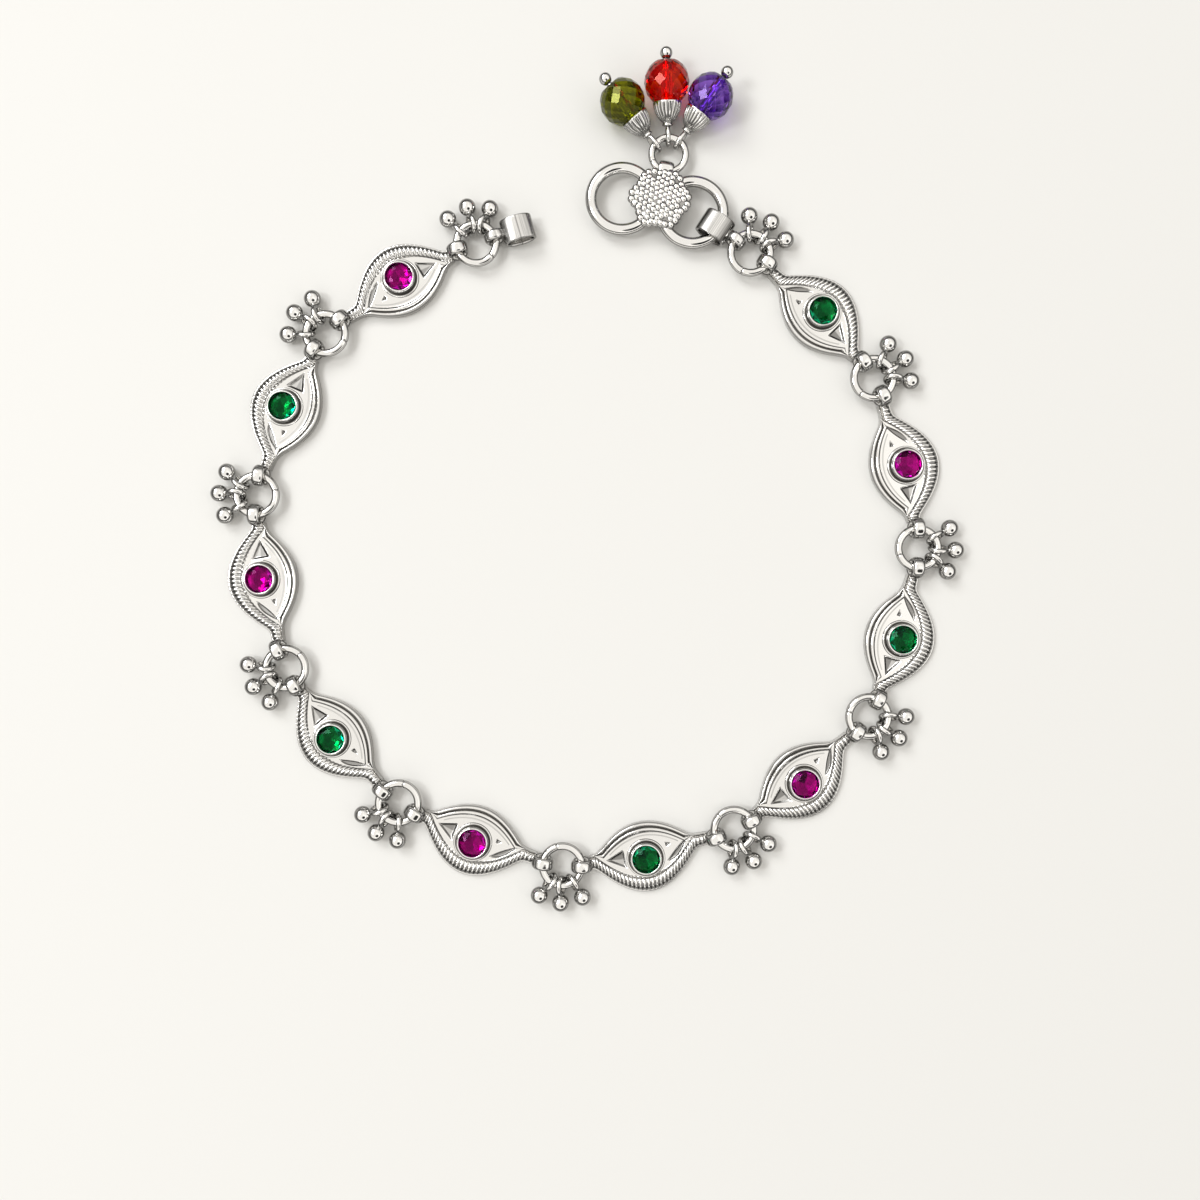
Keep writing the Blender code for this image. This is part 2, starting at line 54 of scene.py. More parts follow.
card_material = bpy.data.materials.new("white_card")
card_material.use_nodes = True
card_shader = card_material.node_tree.nodes["Principled BSDF"]
card_shader.inputs["Base Color"].default_value = (*CARD_COLOUR, 1)
card_shader.inputs["Roughness"].default_value = 0.9
card_shader.inputs["Specular IOR Level"].default_value = 0.1
card_mesh = bpy.data.meshes.new("card")
half = CARD_SIZE / 2
card_mesh.from_pydata([(-half, -half, 0), (half, -half, 0), (half, half, 0), (-half, half, 0)], [],
                      [(0, 1, 2, 3)])
card_mesh.materials.append(card_material)
card = bpy.data.objects.new("card", card_mesh)
bpy.context.scene.collection.objects.link(card)
card.location.z = -CARD_DROP

# The camera looks straight down from close by. The photograph's frame is 160 mm wide at the height of
# the jump rings, and the anklet lies up and to the left in it.
FRAME_WIDTH = 0.160
CAMERA_DISTANCE = 0.150
SENSOR_WIDTH = 36
RING_LEVEL = 0.0015
PICTURE_CENTRE = (0.0017, -0.0155)

camera_data = bpy.data.cameras.new("camera")
camera_data.sensor_width = SENSOR_WIDTH
camera_data.lens = SENSOR_WIDTH * CAMERA_DISTANCE / FRAME_WIDTH
camera_data.clip_start = 0.01
camera = bpy.data.objects.new("camera", camera_data)
bpy.context.scene.collection.objects.link(camera)
camera.location = (*PICTURE_CENTRE, RING_LEVEL + CAMERA_DISTANCE)
bpy.context.scene.camera = camera
bpy.context.scene.view_settings.view_transform = "Standard"

# Studio light: a bright tent all round, dark low down to the lower right and grey to the upper left,
# clouded like lit cloth, with one small dark gap in it. One large soft lamp at the upper left throws
# the shadows, and a small bright window to the left gives the glints on the glass. A plain pale
# backdrop stands behind the card.
SHADE_STEPS = (
    # height of the direction (0 level, 1 straight up) and brightness, towards the lower right
    (0.00, 0.02),
    (0.20, 0.03),
    (0.30, 0.45),
    (0.42, 1.05),
)
BRIGHT_STEPS = (
    # the same towards the upper left
    (0.00, 0.08),
    (0.20, 0.14),
    (0.45, 0.34),
    (0.62, 0.80),
    (0.72, 1.05),
)
SHADE_TOWARDS = (0.6, -0.8, 0.0)
SHADE_BLEND = (-0.5, 0.3)
CLOTH_SCALE = 1.3
CLOTH_SPREAD = (0.42, 0.58)
CLOTH_LOW = 0.88
CLOTH_HIGH = 1.08
CLOTH_TINT = (1.0, 0.978, 0.935)
GAP_TOWARDS = (0.34, -0.55, 0.763)
GAP_EDGE = 0.955
GAP_BLUR = 0.012
GAP_LEVEL = 0.03
BACKDROP_COLOUR = (0.80, 0.79, 0.765)
LAMP_PLACE = (-1.45, 1.62, 2.06)
LAMP_SIZE = 1.3
LAMP_POWER = 34.0
LAMP_COLOUR = (0.975, 0.99, 1.0)
WINDOW_PLACE = (-0.396, 0.035, 0.515)
WINDOW_SIZE = 0.15
WINDOW_POWER = 1.05


def spread(tree, value, start, end, low=0.0, high=1.0):
    """One node that carries a value's range from start to end over to the range from low to high."""
    made = tree.nodes.new("ShaderNodeMapRange")
    for name, limit in (("From Min", start), ("From Max", end), ("To Min", low), ("To Max", high)):
        made.inputs[name].default_value = limit
    tree.links.new(value, made.inputs["Value"])
    return made.outputs["Result"]


def stepped(tree, value, steps, tint):
    """One node that turns a value into a tinted brightness, in straight lines between its steps."""
    made = tree.nodes.new("ShaderNodeValToRGB")
    elements = made.color_ramp.elements
    elements.remove(elements[-1])
    for number, (place, brightness) in enumerate(steps):
        element = elements.new(place) if number else elements[0]
        element.position = place
        element.color = (*(brightness * part for part in tint), 1)
    tree.links.new(value, made.inputs["Fac"])
    return made.outputs["Color"]


def mixed(tree, factor, first, second, blend="MIX"):
    """One node that goes from the first colour to the second, or to their product, by a factor."""
    made = tree.nodes.new("ShaderNodeMix")
    made.data_type = "RGBA"
    made.blend_type = blend
    for name, value in (("Factor", factor), ("A", first), ("B", second)):
        if isinstance(value, bpy.types.NodeSocket):
            tree.links.new(value, made.inputs[name])
        else:
            made.inputs[name].default_value = value
    return made.outputs["Result"]


world = bpy.data.worlds.new("tent")
bpy.context.scene.world = world
world.use_nodes = True
tree = world.node_tree
background = tree.nodes["Background"]
directions = tree.nodes.new("ShaderNodeTexCoord")
separate = tree.nodes.new("ShaderNodeSeparateXYZ")
tree.links.new(directions.outputs["Generated"], separate.inputs[0])
sideways = tree.nodes.new("ShaderNodeVectorMath")
sideways.operation = "DOT_PRODUCT"
sideways.inputs[1].default_value = SHADE_TOWARDS
tree.links.new(directions.outputs["Generated"], sideways.inputs[0])
towards_shade = spread(tree, sideways.outputs["Value"], *SHADE_BLEND)
bright = stepped(tree, separate.outputs["Z"], BRIGHT_STEPS, CLOTH_TINT)
shade = stepped(tree, separate.outputs["Z"], SHADE_STEPS, CLOTH_TINT)
tree.links.new(mixed(tree, towards_shade, bright, shade), background.inputs["Color"])
cloth = tree.nodes.new("ShaderNodeTexNoise")
cloth.inputs["Scale"].default_value = CLOTH_SCALE
cloth.inputs["Detail"].default_value = 1.0
tree.links.new(directions.outputs["Generated"], cloth.inputs["Vector"])
folds = spread(tree, cloth.outputs["Fac"], *CLOTH_SPREAD, CLOTH_LOW, CLOTH_HIGH)
towards_gap = tree.nodes.new("ShaderNodeVectorMath")
towards_gap.operation = "DOT_PRODUCT"
towards_gap.inputs[1].default_value = GAP_TOWARDS
tree.links.new(directions.outputs["Generated"], towards_gap.inputs[0])
gap = spread(tree, towards_gap.outputs["Value"], GAP_EDGE - GAP_BLUR, GAP_EDGE, 1.0, GAP_LEVEL)
strength = tree.nodes.new("ShaderNodeMath")
strength.operation = "MULTIPLY"
tree.links.new(folds, strength.inputs[0])
tree.links.new(gap, strength.inputs[1])
tree.links.new(strength.outputs[0], background.inputs["Strength"])
backdrop = tree.nodes.new("ShaderNodeBackground")
backdrop.inputs["Color"].default_value = (*BACKDROP_COLOUR, 1)
seen = tree.nodes.new("ShaderNodeLightPath")
chosen = tree.nodes.new("ShaderNodeMixShader")
tree.links.new(seen.outputs["Is Camera Ray"], chosen.inputs["Fac"])
tree.links.new(background.outputs[0], chosen.inputs[1])
tree.links.new(backdrop.outputs[0], chosen.inputs[2])
tree.links.new(chosen.outputs[0], tree.nodes["World Output"].inputs["Surface"])

for name, place, size, power in (("lamp", LAMP_PLACE, LAMP_SIZE, LAMP_POWER),
                                 ("window", WINDOW_PLACE, WINDOW_SIZE, WINDOW_POWER)):
    lamp_data = bpy.data.lights.new(name, "AREA")
    lamp_data.size = size
    lamp_data.energy = power
    lamp_data.color = LAMP_COLOUR
    lamp = bpy.data.objects.new(name, lamp_data)
    bpy.context.scene.collection.objects.link(lamp)
    lamp.location = place
    lamp.rotation_euler = (-Vector(place)).to_track_quat("-Z", "Y").to_euler()


# Jump rings: drawn silver wire bent to a circle, its ends butted at a fine seam that shows on each
# ring. They link the eyes and carry the drops.
RING_WIRE = 0.00105
RING_OUTER = 0.00630
RING_RADIUS = (RING_OUTER - RING_WIRE) / 2
RING_STEPS = 160
RING_SIDES = 20
SEAM_WIDTH = 0.018
SEAM_DEPTH = 0.22
SEAM_TURN = math.radians(200)
SILVER_COLOUR = (0.95, 0.95, 0.945)
# dark colour of the tarnish, also used for painted shade
TARNISH_AND_SHADE_COLOUR = (0.060, 0.054, 0.046)
# Painted shade on the silver: its colour is darkened where faces turn from the eye, for dark outlines and
# crescents.
TURNED_FACE_SHADE_STEPS = (
    # how far a face turns from the eye, from 0 to 1, and what is left of its brightness
    (0.00, 1.00),
    (0.20, 0.98),
    (0.31, 0.60),
    (0.43, 0.19),
    (0.56, 0.25),
    (0.80, 0.72),
)
TURNED_FACE_SHADE_TINT = (1.0, 0.985, 0.965)
STREAK_SPREAD = (0.4, 0.7)
GLOSS_SPREAD = (0.3, 0.7)
GLOSS_RANGE = 0.08
TARNISH_DULLING = 0.3
GRAIN_STRENGTH = 0.25
MERGE_DISTANCE = 0.0000005
FACET_SEED = 11
FACET_LEVEL = 0.998
# painted shade: the share kept on level faces, which darkens the tables of the stones
TABLE_SHADE_SHARE = 0.2


def sheet(points, wrap_rows=False, wrap_columns=True):
    """Four-sided faces between the neighbours of a grid of points.

    A wrapped direction joins its last points to its first.
    """
    rows, columns = points.shape[:2]
    index = np.arange(rows * columns).reshape(rows, columns)
    if wrap_rows:
        index = np.vstack([index, index[:1]])
    if wrap_columns:
        index = np.hstack([index, index[:, :1]])
    faces = np.stack([index[:-1, :-1], index[1:, :-1], index[1:, 1:], index[:-1, 1:]], axis=-1)
    return points.reshape(-1, 3), faces.reshape(-1, 4)


def turned(profile, sides):
    """A profile of (radius, height) points carried round z: x = r cos a, y = r sin a, z = height."""
    profile = np.asarray(profile, float)
    around = np.linspace(0, 2 * math.pi, sides, endpoint=False)
    radius = profile[:, :1]
    return np.stack([radius * np.cos(around), radius * np.sin(around),
                     np.repeat(profile[:, 1:], sides, axis=1)], axis=-1)


def wire_along(path, normal, radius, sides):
    """A round wire along a closed flat path: each point plus radius (n cos a + side sin a).

    n is the path plane's normal and side is at right angles to it and to the path.
    """
    ahead = np.roll(path, -1, axis=0) - np.roll(path, 1, axis=0)
    side = np.cross(ahead, normal)
    side /= np.linalg.norm(side, axis=1, keepdims=True)
    around = np.linspace(0, 2 * math.pi, sides, endpoint=False)[None, :, None]
    radius = np.broadcast_to(radius, len(path))[:, None, None]
    return path[:, None] + radius * (np.cos(around) * np.asarray(normal) + np.sin(around) * side[:, None])


def ring_of_wire(radius, wire, steps, sides, seam=0.0):
    """A wire ring about z and how far each point is in its seam, which is a bell curve of the angle.

    The wire is thinned there: its radius is wire / 2 (1 - seam x curve).
    """
    around = np.linspace(0, 2 * math.pi, steps, endpoint=False)
    path = radius * np.stack([np.cos(around), np.sin(around), 0 * around], axis=-1)
    cut = np.exp(-((around - math.pi) / SEAM_WIDTH) ** 2) * (seam > 0)
    return wire_along(path, (0, 0, 1), wire / 2 * (1 - seam * cut), sides), np.repeat(cut, sides)


def placed(points, origin, heading=0.0, slope=0.0):
    """Points sloped about y, turned by heading about z and moved to origin: two plane rotations."""
    x, y, z = np.moveaxis(np.asarray(points), -1, 0)
    along = x * math.cos(slope) - z * math.sin(slope)
    up = x * math.sin(slope) + z * math.cos(slope)
    turned_x = along * math.cos(heading) - y * math.sin(heading)
    turned_y = along * math.sin(heading) + y * math.cos(heading)
    return np.stack([turned_x, turned_y, up], axis=-1) + np.asarray(origin)


def polar(distance, heading, height=0.0):
    """A place from a distance and a heading in plan, (d cos a, d sin a), and a height."""
    return np.array([distance * math.cos(heading), distance * math.sin(heading), height])


def piece(name, shells, material, node, smooth=True):
    """One finished object from closed shells of (points, faces, tarnish and painted shade), in place of a
    CAD node.

    A piece with flat faces also gets a chance value per face, lowered on the level ones as painted
    shade that darkens the tables of the stones.
    """
    offsets = np.cumsum([0] + [len(points) for points, _, _ in shells[:-1]])
    points = np.concatenate([shell[0] for shell in shells])
    tarnish_and_shade = np.concatenate([np.broadcast_to(shell[2], len(shell[0])) for shell in shells])
    corners = np.concatenate([(shell[1] + offset).ravel() for shell, offset in zip(shells, offsets)])
    sizes = np.concatenate([np.full(len(shell[1]), shell[1].shape[1]) for shell in shells])
    mesh = bpy.data.meshes.new(name)
    mesh.vertices.add(len(points))
    mesh.vertices.foreach_set("co", points.astype(np.float32).ravel())
    mesh.loops.add(len(corners))
    mesh.loops.foreach_set("vertex_index", corners.astype(np.int32))
    mesh.polygons.add(len(sizes))
    mesh.polygons.foreach_set("loop_start", (np.cumsum(sizes) - sizes).astype(np.int32))
    mesh.update(calc_edges=True)
    # tarnish and painted shade, per point
    tarnish_and_shade_layer = mesh.attributes.new("tarnish_and_shade", "FLOAT", "POINT")
    tarnish_and_shade_layer.data.foreach_set("value", tarnish_and_shade.astype(np.float32))
    shape = bmesh.new()
    shape.from_mesh(mesh)
    bmesh.ops.remove_doubles(shape, verts=shape.verts, dist=MERGE_DISTANCE)
    bmesh.ops.recalc_face_normals(shape, faces=shape.faces)
    shape.to_mesh(mesh)
    shape.free()
    if smooth:
        mesh.shade_smooth()
    else:
        mesh.shade_flat()
        shade = mesh.attributes.new("facet", "FLOAT", "FACE")
        chance = np.random.default_rng(FACET_SEED).random(len(mesh.polygons))
        normals = np.empty(3 * len(mesh.polygons), np.float32)
        mesh.polygons.foreach_get("normal", normals)
        # painted shade: the level faces, the stones' tables, are pulled to the deep colour
        level = np.abs(normals[2::3]) > FACET_LEVEL
        shade.data.foreach_set("value", (chance * np.where(level, TABLE_SHADE_SHARE, 1.0)).astype(np.float32))
    mesh.materials.append(material)
    made = bpy.data.objects.new(name, mesh)
    bpy.context.scene.collection.objects.link(made)
    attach(made, "root")
    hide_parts(node)
    return made


def silver(name, gloss, grain, grain_depth, stretch=(1, 1, 1), heading=0.0, streaks=0.0):
    """Silver darkened by the tarnish_and_shade attribute: tarnish in recesses, painted shade on some faces.

    Roughness is gloss plus a cloudy noise, which also lifts the surface a little. A brushed face has
    the noise stretched across its heading, and streaks of it darker. Painted shade darkens the faces
    that turn from the eye, which draws dark outlines and crescents.
    """
    made = bpy.data.materials.new(name)
    made.use_nodes = True
    tree = made.node_tree
    nodes = tree.nodes
    link = tree.links.new
    shader = nodes["Principled BSDF"]
    shader.inputs["Metallic"].default_value = 1.0
    place = nodes.new("ShaderNodeTexCoord")
    turn = nodes.new("ShaderNodeMapping")
    turn.vector_type = "TEXTURE"
    turn.inputs["Rotation"].default_value = (0, 0, heading)
    turn.inputs["Scale"].default_value = stretch
    link(place.outputs["Object"], turn.inputs["Vector"])
    cloud = nodes.new("ShaderNodeTexNoise")
    cloud.inputs["Scale"].default_value = grain
    cloud.inputs["Detail"].default_value = 5.0
    link(turn.outputs["Vector"], cloud.inputs["Vector"])
    tarnish_and_shade_layer = nodes.new("ShaderNodeAttribute")
    tarnish_and_shade_layer.attribute_name = "tarnish_and_shade"
    aged_and_shaded = nodes.new("ShaderNodeMath")
    aged_and_shaded.operation = "ADD"
    aged_and_shaded.use_clamp = True
    link(tarnish_and_shade_layer.outputs["Fac"], aged_and_shaded.inputs[0])
    link(spread(tree, cloud.outputs["Fac"], *STREAK_SPREAD, high=streaks), aged_and_shaded.inputs[1])
    colour = mixed(tree, aged_and_shaded.outputs[0], (*SILVER_COLOUR, 1), (*TARNISH_AND_SHADE_COLOUR, 1))
    # painted shade: darker where the faces turn from the eye
    facing = nodes.new("ShaderNodeLayerWeight")
    turned_face_shade = stepped(tree, facing.outputs["Facing"], TURNED_FACE_SHADE_STEPS, TURNED_FACE_SHADE_TINT)
    link(mixed(tree, 1.0, colour, turned_face_shade, "MULTIPLY"), shader.inputs["Base Color"])
    rough = spread(tree, cloud.outputs["Fac"], *GLOSS_SPREAD, gloss, gloss + GLOSS_RANGE)
    dull = nodes.new("ShaderNodeMath")
    dull.operation = "MULTIPLY_ADD"
    dull.inputs[1].default_value = TARNISH_DULLING
    link(tarnish_and_shade_layer.outputs["Fac"], dull.inputs[0])
    link(rough, dull.inputs[2])
    link(dull.outputs[0], shader.inputs["Roughness"])
    bump = nodes.new("ShaderNodeBump")
    bump.inputs["Strength"].default_value = GRAIN_STRENGTH
    bump.inputs["Distance"].default_value = grain_depth
    link(cloud.outputs["Fac"], bump.inputs["Height"])
    link(bump.outputs["Normal"], shader.inputs["Normal"])
    return made


def middle_of(node):
    """The middle of a CAD node's box."""
    low, high = (np.array(corner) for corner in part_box(node))
    return (low + high) / 2


RING_NODES = [f"jump_ring_{number:02d}" for number in range(11)]
ring_centres = [middle_of(node) for node in RING_NODES]
ring_height = ring_centres[0][2]
steps = [after[:2] - before[:2] for before, after in zip(ring_centres, ring_centres[1:])]
link_headings = np.unwrap([math.atan2(step[1], step[0]) for step in steps])
outward = (np.concatenate([link_headings[:1], link_headings])
           + np.concatenate([link_headings, link_headings[-1:]])) / 2 + math.pi / 2

wire_silver = silver("wire_silver", gloss=0.05, grain=900, grain_depth=0.00001)
ring_grid, ring_tarnish = ring_of_wire(RING_RADIUS, RING_WIRE, RING_STEPS, RING_SIDES, SEAM_DEPTH)
for number, (node, centre) in enumerate(zip(RING_NODES, ring_centres)):
    ring_turn = outward[number] + SEAM_TURN - math.pi
    points, faces = sheet(placed(ring_grid, centre, ring_turn), wrap_rows=True)
    piece(f"ring_{number:02d}", [(points, faces, ring_tarnish)], wire_silver, node)


# Eye links: each is cast in silver in one with its necks. A cord-like ribbed border runs along the outer
# edge and on over the necks, and a smooth double rim along the inner edge. A triangle, a leaf and a
# small notch, dark with age, are sunk beside the bezel.
LINK_NODES = [f"eye_link_{number:02d}" for number in range(1, 11)]
LOOP_TURN = math.radians(13)
LOOP_SPACING = 0.01830
LOOP_OFFSET = RING_RADIUS * math.sin(LOOP_TURN)
BODY_SHIFT = 0.00057
BODY_OFFSET = 0.00087
OUTER_RISE = 0.00537
OUTER_REACH = 0.00747
INNER_RISE = 0.00395
INNER_REACH = 0.00710
NECK_HALF = 0.00082
NECK_START = 0.00560
NECK_FADE = 0.00110
NECK_END = 0.00800
FLANGE_TOP = 0.00050
FIELD_TOP = 0.00080
INNER_EDGE_TOP = 0.00055
OUTER_EDGE_TOP = 0.00035
EDGE_ROUND = 0.00006
ALONG_STEPS = 241
BAND_STEPS = 24
FIELD_STEPS = 46

RIB_BAND = 0.00205
RIB_SHARE = 0.50
RIB_NECK_GAIN = 0.38
RIB_TOP = 0.00140
RIB_CREST = 0.58
RIB_CREST_HALF = 0.48
RIB_FOOT = 0.12
RIB_INSIDE = 0.80
RIB_PITCH = 0.00057
RIB_SLANT = 0.45
RIB_GROOVE = 0.00030
RIB_TARNISH = 1.4
RIB_POWER = 3
GROOVE_START = 0.08
GROOVE_FADE = (0.45, 0.45)
GROOVE_LOSS = 0.60
TARNISH_FADE = (0.26, 0.16)
TARNISH_LOSS = 0.78

TIP_REACH = 0.00660
POCKET_DEPTH = 0.00036
POCKET_NEAR = 0.00272
POCKET_FAR = 0.00530
POCKET_HALF = 0.00128
POCKET_STEEPNESS = 0.9
POCKET_WALL = 0.00030
POCKET_TONES = (0.35, 0.72)
SHALLOW_SHARE = 0.8
LEAF_NEAR = 0.00265
LEAF_FAR = 0.00600
LEAF_HALF = 0.00048
LEAF_OFFSET = 0.00066
LEAF_WALL = 0.00022
LEAF_TONE = 0.50
LEAF_STRIPE_TONE = 0.35
LEAF_STRIPE_PITCH = 0.00034
NOTCH_NEAR = 0.00290
NOTCH_FAR = 0.00380
NOTCH_HALF = 0.00034
NOTCH_DROP = 0.00080
NOTCH_WALL = 0.00015
NOTCH_TONE = 0.8
LINE_FROM_RIM = 0.00042
LINE_HALF = 0.00008
LINE_TONE = 0.5
LINE_FIELD = 0.00220

RIM_BAND = 0.00140
RIM_SHARE = 0.34
RIM_NECK_LOSS = 0.26
RIM_TOP = 0.00128
RIM_RIDGES = (
    # place across the band, half width, share of the rim's height
    (0.27, 0.19, 0.75),
    (0.79, 0.20, 1.00),
)
RIM_GROOVE_PLACE = 0.525
RIM_GROOVE_HALF = 0.055
RIM_GROOVE_DEPTH = 0.00012
RIM_GROOVE_TONE = 0.95
RIM_FOOT_HALF = 0.06
RIM_FOOT_TONE = 0.35
RIM_BEVEL = (0.93, 0.07)
RIM_BEVEL_DEPTH = 0.00022


def ramp(value, start, length):
    """A rise from 0 to 1: (value - start) / length, held to that range."""
    return np.clip((value - start) / length, 0, 1)


def swell(value, middle, half, power=2):
    """A smooth hump, 1 in the middle: e to the minus ((value - middle) / half)^power."""
    return np.exp(-(((value - middle) / half) ** power))


def softened(first, second, blend=0.0006):
    """The larger of two values, rounded where they cross: half their sum plus the rooted gap."""
    return (first + second + np.sqrt((first - second) ** 2 + blend**2)) / 2


def link_body():
    """The top, edge and back of an eye link as one closed grid of cross-sections, and its tarnish.

    The edges are two parabolas about the link's middle. Across each section run the ribbed band, the
    field and the rim band. The band is a half oval cut by cosine grooves of the length along the edge.
    The triangle, leaf and notch are sunk by how far a point lies inside each outline. The rims are two
    humps with a groove between them.
    """
    along = np.linspace(-NECK_END, NECK_END, ALONG_STEPS)
    outer = softened(OUTER_RISE * (1 - ((along - BODY_SHIFT) / OUTER_REACH) ** 2), NECK_HALF)
    inner = softened(INNER_RISE * (1 - ((along - BODY_SHIFT) / INNER_REACH) ** 2), NECK_HALF)
    arc = np.concatenate([[0], np.cumsum(np.hypot(np.diff(along), np.diff(outer)))])
    width = outer + inner
    neck = ramp(np.abs(along - BODY_SHIFT), NECK_START, NECK_FADE)
    rib_band = np.minimum(RIB_BAND, (RIB_SHARE + RIB_NECK_GAIN * neck) * width)
    rim_band = np.minimum(RIM_BAND, (RIM_SHARE - RIM_NECK_LOSS * neck) * width)
    ones = np.ones_like(along)[:, None]

    across = np.linspace(0, 1, BAND_STEPS)[None, :]
    rib_y = outer[:, None] - rib_band[:, None] * across
    crown = np.sqrt(np.clip(1 - ((across - RIB_CREST) / RIB_CREST_HALF) ** 2, 0, 1))
    cord = np.where(across < RIB_FOOT, FLANGE_TOP, FLANGE_TOP + (RIB_TOP - FLANGE_TOP) * crown)
    cord = np.where(across > RIB_INSIDE, np.maximum(cord, FIELD_TOP), cord)
    phase = arc[:, None] / RIB_PITCH + RIB_SLANT * across
    groove = (0.5 + 0.5 * np.cos(2 * math.pi * phase)) ** RIB_POWER
    strength = ramp(across, GROOVE_START, GROOVE_START) * (1 - GROOVE_LOSS * ramp(across, *GROOVE_FADE))
    groove = groove * strength
    rib_z = cord * ones - RIB_GROOVE * groove
    rib_tarnish = np.clip(RIB_TARNISH * groove * (1 - TARNISH_LOSS * ramp(across, *TARNISH_FADE)), 0, 1)

    across = np.linspace(0, 1, FIELD_STEPS)[None, 1:-1]
    field_start = (outer - rib_band)[:, None]
    field_width = (width - rib_band - rim_band)[:, None]
    field_y = field_start - field_width * across
    from_stone = (along - BODY_SHIFT)[:, None]
    distance = np.abs(from_stone)
    up = field_y - BODY_OFFSET * (1 - distance / TIP_REACH)
    half_height = POCKET_HALF * (POCKET_FAR - distance) / (POCKET_FAR - POCKET_NEAR)
    wall = np.minimum(distance - POCKET_NEAR, (half_height - np.abs(up)) * POCKET_STEEPNESS)
    pocket = ramp(wall, 0, POCKET_WALL) * (from_stone > 0)
    share = ramp(distance, LEAF_NEAR, LEAF_FAR - LEAF_NEAR)
    wall = LEAF_HALF * np.sin(math.pi * share) - np.abs(field_y - (field_start - LEAF_OFFSET))
    leaf = ramp(wall, 0, LEAF_WALL) * (from_stone < 0)
    half_height = NOTCH_HALF * (NOTCH_FAR - distance) / (NOTCH_FAR - NOTCH_NEAR)
    wall = np.minimum(distance - NOTCH_NEAR, half_height - np.abs(up + NOTCH_DROP))
    notch = ramp(wall, 0, NOTCH_WALL) * (from_stone < 0)
    field_z = FIELD_TOP - POCKET_DEPTH * np.maximum(pocket, SHALLOW_SHARE * np.maximum(leaf, notch))
    stripes = LEAF_TONE + LEAF_STRIPE_TONE * np.cos(2 * math.pi * distance / LEAF_STRIPE_PITCH) ** 2
    from_rim = field_y + (inner - rim_band)[:, None]
    second_line = LINE_TONE * swell(from_rim, LINE_FROM_RIM, LINE_HALF) * (field_width > LINE_FIELD)
    field_tarnish = np.maximum.reduce([pocket * np.where(up > 0, *POCKET_TONES), leaf * stripes,
                                       NOTCH_TONE * notch, second_line])

    across = np.linspace(0, 1, BAND_STEPS)[None, :]
    rim_y = rim_band[:, None] * (1 - across) - inner[:, None]
    ridges = sum(share * swell(across, place, half, 4) for place, half, share in RIM_RIDGES)
    line = swell(across, RIM_GROOVE_PLACE, RIM_GROOVE_HALF)
    rim_profile = FIELD_TOP + (RIM_TOP - FIELD_TOP) * ridges - RIM_GROOVE_DEPTH * line
    rim_z = (rim_profile - RIM_BEVEL_DEPTH * ramp(across, *RIM_BEVEL)) * ones
    rim_tarnish = (RIM_GROOVE_TONE * line + RIM_FOOT_TONE * swell(across, 0, RIM_FOOT_HALF)) * ones

    edge_y = np.repeat(np.stack([-inner, outer], axis=1), 3, axis=1)
    edge_y = edge_y + np.array([[0, 0, EDGE_ROUND, -EDGE_ROUND, 0, 0]])
    edge_z = np.array([[INNER_EDGE_TOP, EDGE_ROUND, 0, 0, EDGE_ROUND, OUTER_EDGE_TOP]]) * ones

    y = np.concatenate([rib_y, field_y, rim_y, edge_y], axis=1)
    z = np.concatenate([rib_z, field_z, rim_z, edge_z], axis=1)
    tarnish_and_shade = np.concatenate([rib_tarnish, field_tarnish, rim_tarnish, 0 * edge_y], axis=1)
    x = np.repeat(along[:, None], y.shape[1], axis=1)
    grid = np.stack([x, y, z], axis=-1)
    first = grid[:1].mean(axis=1, keepdims=True) * np.ones_like(grid[:1])
    last = grid[-1:].mean(axis=1, keepdims=True) * np.ones_like(grid[-1:])
    grid = np.concatenate([first, grid, last])
    tarnish_and_shade = np.concatenate([tarnish_and_shade[:1] * 0, tarnish_and_shade, tarnish_and_shade[-1:] * 0])
    return grid, tarnish_and_shade.ravel()


# The loop at each end of a link is a rolled band round the jump ring, crowned on its outside and
# wider underneath, where it was cut from the strip.
LOOP_BORE = 0.00083
LOOP_WALL = 0.00064
LOOP_HALF = 0.00078
LOOP_FLARE = 0.00034
LOOP_CROWN = 0.45
LOOP_STEPS = 56
LOOP_ROWS = 15


def rolled_loop(half_width, flare, bore, wall):
    """A crowned band carried round the y axis: radius = bore + wall (1 - crown v^4) on the outside.

    v goes from -1 to 1 across the band. The half width grows by flare towards the underside, as the
    square of the downward share.
    """
    turn = np.linspace(0, 2 * math.pi, LOOP_STEPS, endpoint=False)[:, None]
    side = np.linspace(-1, 1, LOOP_ROWS)
    outside = bore + wall * (1 - LOOP_CROWN * side**4)
    inside = np.full(5, bore)
    radius = np.concatenate([outside, inside])[None, :]
    across = np.concatenate([side, np.linspace(1, -1, 7)[1:-1]])[None, :]
    down = np.clip(-np.sin(turn), 0, 1)
    y = across * (half_width + flare * down**2)
    return np.stack([radius * np.cos(turn), y, radius * np.sin(turn)], axis=-1)


